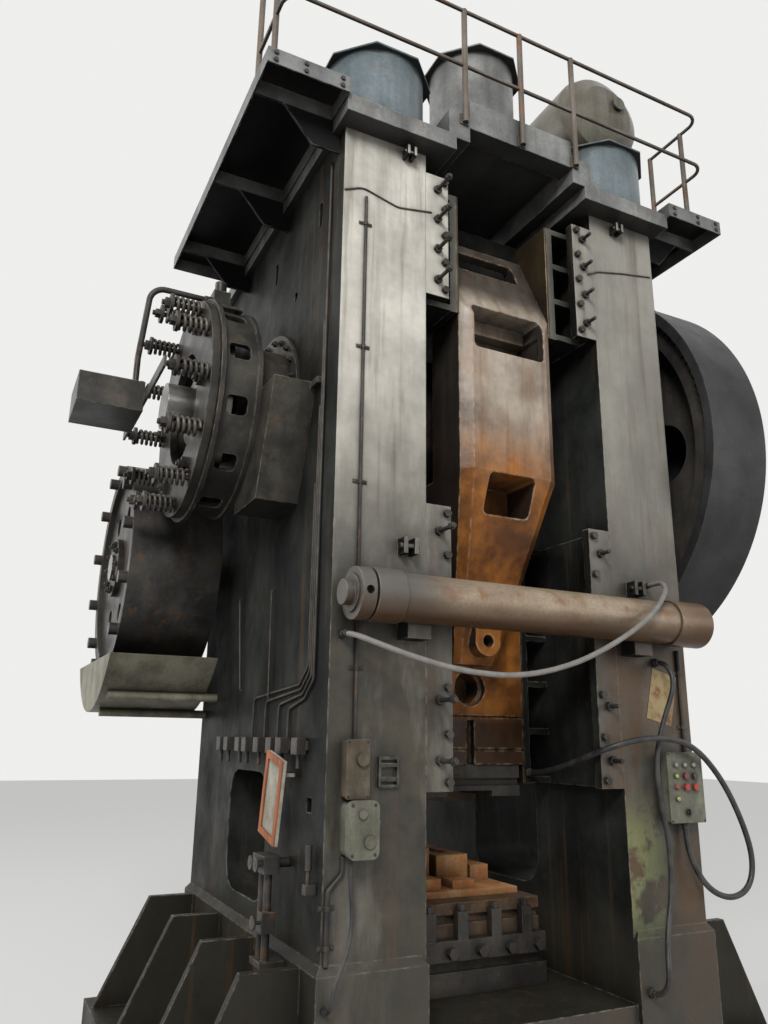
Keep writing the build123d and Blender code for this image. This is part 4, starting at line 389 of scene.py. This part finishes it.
def noticeBoard(look):
    mat, tree, shader = startMaterial("noticeBoard")
    wood = between(tree, cloud(tree, 12, 0.4, 0.65, stretch=(1, 1, 0.2)), look["wood"], look["woodDark"])
    sheet = between(tree, cloud(tree, 5, 0.45, 0.65, seed=2.0), look["sheet"], look["sheetStain"])
    plate = between(tree, cloud(tree, 9, 0.5, 0.68, seed=3.0), look["plate"], look["woodDark"])
    colour = between(tree, along(tree, "X", *look["sheetFace"]), wood, sheet)
    colour = between(tree, along(tree, "X", *look["plateSide"]), colour, plate)
    finishSurface(tree, shader, colour, look)
    return mat


finishes["noticeBoard"] = noticeBoard(noticeLook)
finishes["framePaint"] = framePaint(frameLook)
finishes["slideScale"] = slidePaint(slideLook)


# rubber, glass and plastic with dust on them
plainLook = {"patch": 25, "dustAmount": 0.35, "roughness": (0.25, 0.5), "grain": 220, "relief": 0.2,
             "reliefDepth": 0.002, "coat": 0.0}


def smooth(name, own):
    look = {**plainLook, **own}
    mat, tree, shader = startMaterial(name)
    dust = cloud(tree, look["patch"], 0.4, 0.7)
    colour = coated(tree, look["colour"], look["dust"], dust, look["dustAmount"])
    tree.links.new(colour, shader.inputs["Base Color"])
    spreadRoughness(tree, shader, dust, look)
    raiseRelief(tree, shader, cloud(tree, look["grain"], 0, 1, detail=3), look)
    shader.inputs["Coat Weight"].default_value = look["coat"]
    return mat


smoothLooks = {
    "blackKnob": {"colour": (0.012, 0.012, 0.012), "dust": (0.12, 0.10, 0.08), "coat": 0.2},
    "redKnob": {"colour": (0.42, 0.03, 0.02), "dust": (0.2, 0.08, 0.05), "coat": 0.2},
    "greyHose": {"colour": (0.22, 0.205, 0.19), "dust": (0.38, 0.36, 0.33), "patch": 12, "dustAmount": 0.6,
                 "roughness": (0.5, 0.75)},
    "blackHose": {"colour": (0.018, 0.018, 0.019), "dust": (0.13, 0.12, 0.11), "patch": 10, "dustAmount": 0.5,
                  "roughness": (0.4, 0.65)},
    "darkRedKnob": {"colour": (0.16, 0.015, 0.012), "dust": (0.12, 0.06, 0.05), "coat": 0.2},
    "yellowLens": {"colour": (0.42, 0.48, 0.10), "dust": (0.25, 0.24, 0.12), "dustAmount": 0.25, "coat": 0.4,
                   "roughness": (0.15, 0.3)},
    "redLens": {"colour": (0.50, 0.04, 0.03), "dust": (0.25, 0.10, 0.08), "dustAmount": 0.25, "coat": 0.4,
                "roughness": (0.15, 0.3)},
    "clearLens": {"colour": (0.30, 0.31, 0.30), "dust": (0.18, 0.17, 0.15), "dustAmount": 0.35, "coat": 0.4,
                  "roughness": (0.15, 0.3)},
}
for name, look in smoothLooks.items():
    finishes[name] = smooth(name, look)

nodeFinish = {
    "framePaint": ["frame_casting", "upper_gib_left", "upper_gib_right", "lower_gib_left", "lower_gib_right"],
    "slideScale": ["slide"],
    "capPaint": ["crown_cap", "balance_cylinder"],
    "platformPaint": ["platforms"],
    "coverPaint": ["nut_covers"],
    "railPaint": ["railing"],
    "receiverPaint": ["air_receiver"],
    "gibPaint": ["connecting_rod", "receiving_bearings", "rear_drum", "oil_lines", "conduits"],
    "brakePaint": ["brake_housing", "pressure_ring", "brake_bracket", "shaft_end_box", "brake_valve",
                   "main_bearings"],
    "guardPaint": ["gear_guard"],
    "trayPaint": ["drip_tray"],
    "switchPaint": ["switch_box"],
    "boxPaint": ["starter_box", "starter_lever", "button_panel"],
    "oiledBronze": ["guide_liners"],
    "blackSteel": ["gib_adjusters", "gib_bolts", "tie_rods", "tie_rod_nuts", "upper_die_holder", "bolster",
                   "die_clamps", "brake_studs", "brake_springs", "gear_wheel", "clutch_hub"],
    "barSteel": ["front_tie_bolt", "front_tie_nuts"],
    "turnedSteel": ["eccentric_shaft", "wrist_pin", "brake_disc", "pinion_shaft"],
    "dieSteel": ["upper_dies", "lower_die_holder"],
    "hotDie": ["lower_dies"],
    "blackKnob": ["button_inch", "selector_knob"],
    "redKnob": ["button_mode", "button_stop"],
    "darkRedKnob": ["button_start"],
    "noticeBoard": ["notices"],
}
for finish, nodeNames in nodeFinish.items():
    for nodeName in nodeNames:
        cad[nodeName].data.materials.clear()
        cad[nodeName].data.materials.append(finishes[finish])
print("finishes made,", len(finishes))

# hoses and the starter's cable, each through its route's points in metres
hoses = {
    "tieHose": {"node": "tie_hose", "across": 0.038, "length": 3.434, "stiffness": "medium", "lay": "hanging",
                "finish": "greyHose",
                "route": [(-1.5, -1.6, 3.17), (-1.5, -1.72, 3.17), (-1.38, -1.85, 3.1), (-1.15, -1.95, 3.01),
                          (-0.8, -2.0, 2.93), (-0.35, -2.0, 2.915), (0.1, -2.03, 3.02), (0.5, -2.05, 3.21),
                          (0.8, -2.06, 3.4), (1.03, -2.01, 3.61), (1.16, -1.86, 3.73), (1.19, -1.72, 3.74),
                          (1.19, -1.6, 3.74)]},
    "loopHose": {"node": "loop_hose", "across": 0.044, "length": 3.898, "stiffness": "stiff", "lay": "hanging",
                 "finish": "blackHose",
                 "route": [(0.571, -0.78, 2.25), (0.571, -0.93, 2.25), (0.59, -1.15, 2.29), (0.59, -1.45, 2.37),
                           (0.62, -1.69, 2.45), (0.83, -1.79, 2.52), (1.12, -1.8, 2.54), (1.42, -1.79, 2.48),
                           (1.7, -1.77, 2.24), (1.88, -1.77, 1.93), (1.97, -1.77, 1.64), (1.9, -1.77, 1.43),
                           (1.7, -1.76, 1.36), (1.5, -1.73, 1.44), (1.41, -1.68, 1.63), (1.4, -1.65, 1.8),
                           (1.4, -1.65, 1.92)]},
    "dropHose": {"node": "drop_hose", "across": 0.040, "length": 2.681, "stiffness": "medium", "lay": "hanging",
                 "finish": "blackHose",
                 "route": [(1.25, -1.6, 3.12), (1.25, -1.676, 3.12), (1.25, -1.75, 3.078),
                           (1.25, -1.792, 3.004), (1.24, -1.795, 2.89), (1.16, -1.74, 2.65),
                           (1.085, -1.715, 2.38), (1.1, -1.71, 2.08), (1.17, -1.71, 1.76),
                           (1.15, -1.71, 1.42), (1.05, -1.74, 1.18), (0.95, -1.832, 1.01),
                           (0.95, -1.832, 0.9), (0.95, -1.79, 0.826), (0.95, -1.716, 0.784),
                           (0.95, -1.64, 0.784)]},
    "starterCable": {"node": "starter_cable", "across": 0.026, "length": 0.945, "stiffness": "medium",
                     "lay": "hanging", "finish": "blackHose",
                     "route": [(-1.44, -1.68, 1.79), (-1.44, -1.68, 1.64), (-1.425, -1.7, 1.46),
                               (-1.47, -1.74, 1.28), (-1.56, -1.76, 1.12), (-1.575, -1.76, 1.03),
                               (-1.575, -1.733, 0.983), (-1.575, -1.686, 0.956), (-1.575, -1.64, 0.956)]},
}


hoseShape = {"resolution": 8, "rings": 5}


def makeHose(name, look):
    line = bpy.data.curves.new(name, "CURVE")
    line.dimensions = "3D"
    spline = line.splines.new("NURBS")
    spline.points.add(len(look["route"]) - 1)
    for point, place in zip(spline.points, look["route"]):
        point.co = (*place, 1)
    spline.order_u = 3
    spline.use_endpoint_u = True
    spline.resolution_u = hoseShape["resolution"]
    line.bevel_depth = look["across"] / 2
    line.bevel_resolution = hoseShape["rings"]
    line.use_fill_caps = True
    hose = bpy.data.objects.new(name, line)
    bpy.context.scene.collection.objects.link(hose)
    line.materials.append(finishes[look["finish"]])
    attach(hose, "frame")
    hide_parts(look["node"])


for name, look in hoses.items():
    makeHose(name, look)
print("hoses laid")


# steps that the modelled pieces share
def clearSelection():
    if bpy.context.object and bpy.context.object.mode != "OBJECT":
        bpy.ops.object.mode_set(mode="OBJECT")
    bpy.ops.object.select_all(action="DESELECT")


def pickFaces(piece, wanted):
    mesh = bmesh.from_edit_mesh(piece.data)
    for face in mesh.faces:
        face.select_set(wanted(face))
    mesh.select_flush_mode()
    bmesh.update_edit_mesh(piece.data)


def turnedTo(place, out, spin=0.0):
    # a place whose Z axis points along out
    facingOut = Vector(out).to_track_quat("Z", "Y").to_matrix().to_4x4()
    return Matrix.Translation(place) @ facingOut @ Matrix.Rotation(spin, 4, "Z")


def spread(model, spots):
    # copies of a model, each with its own mesh
    copies = []
    for spot in spots:
        copy = model.copy()
        copy.data = model.data.copy()
        bpy.context.scene.collection.objects.link(copy)
        copy.matrix_world = spot
        copies.append(copy)
    bpy.data.objects.remove(model)
    return copies


smoothAngle = math.radians(35)


def joined(parts, name, finish, body="frame"):
    clearSelection()
    for part in parts:
        part.select_set(True)
    bpy.context.view_layer.objects.active = parts[0]
    if len(parts) > 1:
        bpy.ops.object.join()
    piece = bpy.context.object
    bpy.ops.object.transform_apply(location=True, rotation=True, scale=True)
    bpy.ops.object.shade_smooth_by_angle(angle=smoothAngle)
    piece.name = name
    piece.data.materials.clear()
    piece.data.materials.append(finishes[finish])
    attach(piece, body)
    return piece


# hexagon bolts and nuts, with the stud's end standing out of them, and sizes as shares of the radius
boltShape = {"rim": 0.14, "crown": 0.12, "studEdge": 0.22, "studSides": 14, "sides": 6, "spin": 0.7}


def roundBar(sides, radius, height):
    clearSelection()
    bpy.ops.mesh.primitive_cylinder_add(vertices=sides, radius=radius, depth=height,
                                        location=(0, 0, height / 2))
    bpy.ops.object.mode_set(mode="EDIT")
    pickFaces(bpy.context.object, lambda face: face.normal.z > 0.9)
    return bpy.context.object


def makeBolt(look):
    bolt = roundBar(boltShape["sides"], look["radius"], look["height"])
    bpy.ops.mesh.inset(thickness=look["radius"] * boltShape["rim"])
    bpy.ops.transform.translate(value=(0, 0, look["radius"] * boltShape["crown"]))
    bpy.ops.object.mode_set(mode="OBJECT")
    bpy.ops.object.transform_apply(location=True)
    if "stud" not in look:
        return bolt
    roundBar(boltShape["studSides"], look["studRadius"], look["height"] + look["stud"])
    bpy.ops.mesh.bevel(offset=look["studRadius"] * boltShape["studEdge"], segments=1)
    bpy.ops.object.mode_set(mode="OBJECT")
    bolt.select_set(True)
    bpy.context.view_layer.objects.active = bolt
    bpy.ops.object.join()
    bpy.ops.object.transform_apply(location=True)
    return bpy.context.object


def ringSpots(x, radius, count, start=0.0, centre=(0, 5.2)):
    turns = [start + 2 * math.pi / count * k for k in range(count)]
    return [(x, centre[0] + radius * math.cos(turn), centre[1] + radius * math.sin(turn)) for turn in turns]


# the studs of the gibs stand in the middles of their rows, and none where the tie bolt's saddle is
gibRows = {"plates": [(5.905, 1.117, 4), (2.16, 2.01, 5)], "face": -1.6, "saddle": 3.415, "clear": 0.26}


def gibStuds(x, look):
    heights = [foot + (k + 0.5) * height / rows for foot, height, rows in look["plates"] for k in range(rows)]
    return [(x, look["face"], z) for z in heights if abs(z - look["saddle"]) > look["clear"]]


def corners(x, y, z, wide, high):
    return [(x + across, y, z + up) for across in (-wide, wide) for up in (-high, high)]


# the bracket covers the lower front of the left flange
leftRing = [spot for spot in ringSpots(-1.62, 0.735, 24) if not (spot[1] < -0.26 and spot[2] < 5.2)]
railPlates = [(side * x, -1.827, z) for side in (-1, 1) for x in (1.72, 2.02, 2.26) for z in (7.335, 7.40)]
drumRadius = 1.035  # its axis is that far over its lowest point
drumAxis = (1.8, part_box("rear_drum")[0][2] + drumRadius)
boltSets = {
    "flangeBoltsLeft": {"radius": 0.027, "height": 0.022, "stud": 0.018, "studRadius": 0.014, "out": (-1, 0, 0),
                        "spots": leftRing},
    "flangeBoltsRight": {"radius": 0.027, "height": 0.022, "stud": 0.018, "studRadius": 0.014, "out": (1, 0, 0),
                         "spots": ringSpots(1.62, 0.735, 24)},
    "gibNutsLeft": {"radius": 0.036, "height": 0.03, "out": (0, -1, 0), "spots": gibStuds(-0.755, gibRows)},
    "gibTipsLeft": {"radius": 0.030, "height": 0.026, "stud": 0.02, "studRadius": 0.02, "out": (0, -1, 0),
                    "spots": [(x, y - 0.175, z) for x, y, z in gibStuds(-0.755, gibRows)]},
    "gibNutsRight": {"radius": 0.036, "height": 0.03, "out": (0, -1, 0), "spots": gibStuds(0.755, gibRows)},
    "ringNuts": {"radius": 0.038, "height": 0.026, "out": (-1, 0, 0), "body": "brake_plate",
                 "spots": ringSpots(-2.404, 0.7, 6), "stud": 0.016, "studRadius": 0.02},
    "drumBolts": {"radius": 0.030, "height": 0.026, "stud": 0.02, "studRadius": 0.016, "out": (-1, 0, 0),
                  "body": "drive", "spots": ringSpots(-2.55, 0.235, 10, centre=drumAxis)},
    "platformBolts": {"radius": 0.018, "height": 0.014, "out": (0, -1, 0), "spots": railPlates},
    "tieHoseEnds": {"radius": 0.034, "height": 0.03, "stud": 0.05, "studRadius": 0.025, "out": (0, -1, 0),
                    "spots": [(-1.5, -1.6, 3.17), (1.19, -1.6, 3.74)]},
    "floorHoseEnds": {"radius": 0.036, "height": 0.03, "stud": 0.03, "studRadius": 0.027, "out": (0, -1, 0),
                      "spots": [(1.25, -1.6, 3.12), (0.95, -1.64, 0.784), (0.571, -0.78, 2.25)]},
    "panelGland": {"radius": 0.036, "height": 0.03, "stud": 0.03, "studRadius": 0.028, "out": (0, 0, -1),
                   "spots": [(1.4, -1.65, 1.92)]},
    "cableGlands": {"radius": 0.022, "height": 0.02, "stud": 0.02, "studRadius": 0.017, "out": (0, 0, -1),
                    "spots": [(-1.44, -1.68, 1.79)]},
    "cableFoot": {"radius": 0.022, "height": 0.02, "stud": 0.02, "studRadius": 0.017, "out": (0, -1, 0),
                  "spots": [(-1.575, -1.64, 0.956)]},
    "switchScrews": {"radius": 0.007, "height": 0.004, "out": (0, -1, 0),
                     "spots": corners(-1.41, -1.704, 2.313, 0.066, 0.166)},
    "starterScrews": {"radius": 0.009, "height": 0.005, "out": (0, -1, 0),
                      "spots": corners(-1.385, -1.75, 1.955, 0.078, 0.145)},
    "panelScrews": {"radius": 0.008, "height": 0.005, "out": (0, -1, 0),
                    "spots": corners(1.395, -1.7, 2.17, 0.166, 0.246)},
}
for name, look in boltSets.items():
    places = [turnedTo(spot, look["out"], spin=boltShape["spin"] * k) for k, spot in enumerate(look["spots"])]
    joined(spread(makeBolt(look), places), name, "blackSteel", look.get("body", "frame"))
print("bolts and fittings made,", len(boltSets), "sets")

# coil springs of the brake, between the pressure ring and the plates of the studs
springLook = {"coil": 0.0592, "wire": 0.0145, "turns": 5, "length": 0.24, "seat": -2.354, "circle": 0.85,
              "count": 12, "sides": 8, "steps": 18, "firstTurn": 30, "weld": 0.0001, "keep": 0.9833}


def makeSpring(look):
    clearSelection()
    pitch = (look["length"] - 2 * look["wire"]) / look["turns"]
    bpy.ops.mesh.primitive_circle_add(vertices=look["sides"], radius=look["wire"],
                                      location=(look["coil"], 0, 0), rotation=(math.pi / 2, 0, 0))
    spring = bpy.context.object
    bpy.ops.object.transform_apply(location=True, rotation=True)
    coil = spring.modifiers.new("coil", "SCREW")
    coil.axis = "Z"
    coil.angle = 2 * math.pi
    coil.screw_offset = pitch
    coil.iterations = look["turns"]
    coil.steps = coil.render_steps = look["steps"]
    coil.use_merge_vertices = False
    bpy.ops.object.modifier_apply(modifier="coil")
    bpy.ops.object.mode_set(mode="EDIT")
    bpy.ops.mesh.select_all(action="SELECT")
    bpy.ops.mesh.remove_doubles(threshold=look["weld"])
    bpy.ops.mesh.select_all(action="DESELECT")
    bpy.ops.mesh.select_mode(type="EDGE")
    bpy.ops.mesh.select_non_manifold()
    bpy.ops.mesh.edge_face_add()
    bpy.ops.mesh.select_all(action="SELECT")
    bpy.ops.mesh.normals_make_consistent(inside=False)
    bpy.ops.transform.translate(value=(0, 0, look["wire"]))
    bpy.ops.mesh.select_mode(type="FACE")
    bpy.ops.object.mode_set(mode="OBJECT")
    return spring


spots = ringSpots(springLook["seat"], springLook["circle"], springLook["count"],
                  math.radians(springLook["firstTurn"]))
places = [turnedTo(spot, (-1, 0, 0), spin=k) for k, spot in enumerate(spots)]
springs = joined(spread(makeSpring(springLook), places), "brakeSprings", "springSteel")
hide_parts("brake_springs")
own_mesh(springs)
print("springs wound")

# lamp lenses of the operating panel
lensLook = {"segments": 20, "rings": 12, "radius": 0.0165, "height": 0.013, "face": -1.7142,
            "lamps": {"yellowLens": [(1.290, 2.253), (1.290, 2.087)], "redLens": [(1.290, 2.172)],
                      "clearLens": [(1.290, 2.335), (1.382, 2.335), (1.474, 2.335)]}}


def keepUpper():
    # cuts the active piece at its own ground plane and closes it
    bpy.ops.object.mode_set(mode="EDIT")
    bpy.ops.mesh.select_all(action="SELECT")
    bpy.ops.mesh.bisect(plane_co=(0, 0, 0), plane_no=(0, 0, 1), use_fill=True, clear_inner=True)
    bpy.ops.object.mode_set(mode="OBJECT")


def makeLens(look):
    clearSelection()
    bpy.ops.mesh.primitive_uv_sphere_add(segments=look["segments"], ring_count=look["rings"],
                                         radius=look["radius"])
    keepUpper()
    bpy.ops.object.mode_set(mode="EDIT")
    bpy.ops.mesh.select_all(action="SELECT")
    bpy.ops.transform.resize(value=(1, 1, look["height"] / look["radius"]))
    bpy.ops.object.mode_set(mode="OBJECT")
    return bpy.context.object


for finish, lamps in lensLook["lamps"].items():
    places = [turnedTo((x, lensLook["face"], z), (0, -1, 0)) for x, z in lamps]
    joined(spread(makeLens(lensLook), places), finish + "es", finish)

# saddle clips that hold the conduits and the wall pipes
clipSets = {
    "conduitClips": {"pipe": 0.012, "spots": [(-1.4, -1.6, z) for z in (2.95, 4.25, 5.3, 6.35)]},
    "panelClips": {"pipe": 0.016, "spots": [(1.5, -1.6, z) for z in (2.62, 3.05)]},
    "feedClips": {"pipe": 0.014, "spots": [(-1.56, -1.6, z) for z in (1.28, 1.5)]},
}
clipShape = {"sheet": 0.005, "width": 0.03, "span": 0.11, "edge": 0.0012, "sides": 20, "screwAt": 0.04,
             "screw": {"radius": 0.009, "height": 0.006}}


def makeClip(pipe, shape):
    clearSelection()
    bpy.ops.mesh.primitive_cylinder_add(vertices=shape["sides"], radius=pipe + shape["sheet"],
                                        depth=shape["width"], rotation=(math.pi / 2, 0, 0),
                                        location=(0, 0, pipe))
    clip = bpy.context.object
    bpy.ops.object.transform_apply(location=True, rotation=True)
    keepUpper()
    clearSelection()
    bpy.ops.mesh.primitive_cube_add(size=1, location=(0, 0, shape["sheet"] / 2))
    ears = bpy.context.object
    ears.dimensions = (shape["span"], shape["width"], shape["sheet"])
    bpy.ops.object.transform_apply(location=True, rotation=True, scale=True)
    bpy.ops.object.mode_set(mode="EDIT")
    bpy.ops.mesh.select_all(action="SELECT")
    bpy.ops.mesh.bevel(offset=shape["edge"], segments=1)
    bpy.ops.object.mode_set(mode="OBJECT")
    screwSpots = [Matrix.Translation((x, 0, shape["sheet"])) for x in (-shape["screwAt"], shape["screwAt"])]
    screws = spread(makeBolt(shape["screw"]), screwSpots)
    clearSelection()
    for part in [clip, ears] + screws:
        part.select_set(True)
    bpy.context.view_layer.objects.active = clip
    bpy.ops.object.join()
    bpy.ops.object.transform_apply(location=True, rotation=True, scale=True)
    return bpy.context.object


for name, look in clipSets.items():
    places = [turnedTo(spot, (0, -1, 0)) for spot in look["spots"]]
    joined(spread(makeClip(look["pipe"], clipShape), places), name, "blackSteel")
print("lenses and clips made")

# studio: pale floor, pale backdrop, soft light
studio = {"pale": (0.80, 0.79, 0.77), "shown": (0.86, 0.86, 0.85), "fillLight": 0.2, "floorSize": 90,
          "floorGlow": 0.5, "floorDrop": 0.002, "floorRoughness": 0.9,
          "lamps": {"key": {"place": (-8.5, -13, 13), "size": 5, "power": 1900, "aim": (0, 0, 4.8)},
                    "fill": {"place": (13, -13, 6), "size": 8, "power": 380, "aim": (0, 0, 4)},
                    "back": {"place": (-13, 6, 10), "size": 6, "power": 700, "aim": (0, 0, 5)}}}


def makeStudio(look):
    bpy.ops.mesh.primitive_plane_add(size=look["floorSize"], location=(0, 0, -look["floorDrop"]))
    floor = bpy.context.object
    floor.name = "studioFloor"
    bpy.ops.object.transform_apply(location=True, rotation=True, scale=True)
    mat, tree, shader = startMaterial("studioFloor")
    shader.inputs["Base Color"].default_value = (*look["pale"], 1)
    shader.inputs["Roughness"].default_value = look["floorRoughness"]
    glow = addNode(tree, "Emission", {"Color": (*look["shown"], 1), "Strength": 1.0})
    path = addNode(tree, "LightPath")
    seen = sums(tree, "MAXIMUM", path.outputs["Is Camera Ray"], path.outputs["Is Glossy Ray"])
    lift = both(tree, seen, look["floorGlow"])
    blend = addNode(tree, "MixShader", {0: lift, 1: shader.outputs[0], 2: glow.outputs[0]})
    tree.links.new(blend.outputs[0], tree.nodes["Material Output"].inputs[0])
    floor.data.materials.append(mat)
    world = bpy.data.worlds.new("studioWorld")
    bpy.context.scene.world = world
    world.use_nodes = True
    tree = world.node_tree
    light = tree.nodes["Background"]
    light.inputs["Color"].default_value = (1, 1, 1, 1)
    light.inputs["Strength"].default_value = look["fillLight"]
    shown = addNode(tree, "Background", {"Color": (*look["shown"], 1), "Strength": 1.0})
    path = addNode(tree, "LightPath")
    mirrored = sums(tree, "MAXIMUM", path.outputs["Is Glossy Ray"], path.outputs["Is Transmission Ray"])
    seen = sums(tree, "MAXIMUM", path.outputs["Is Camera Ray"], mirrored)
    mix = addNode(tree, "MixShader", {0: seen, 1: light.outputs[0], 2: shown.outputs[0]})
    tree.links.new(mix.outputs[0], tree.nodes["World Output"].inputs[0])
    for name, lamp in look["lamps"].items():
        data = bpy.data.lights.new(name + "Lamp", "AREA")
        data.energy = lamp["power"]
        data.size = lamp["size"]
        holder = bpy.data.objects.new(name + "Lamp", data)
        bpy.context.scene.collection.objects.link(holder)
        holder.location = lamp["place"]
        beam = Vector(lamp["aim"]) - Vector(lamp["place"])
        holder.rotation_euler = beam.to_track_quat("-Z", "Y").to_euler()


makeStudio(studio)
bpy.context.scene.view_settings.view_transform = "Standard"
print("studio set")
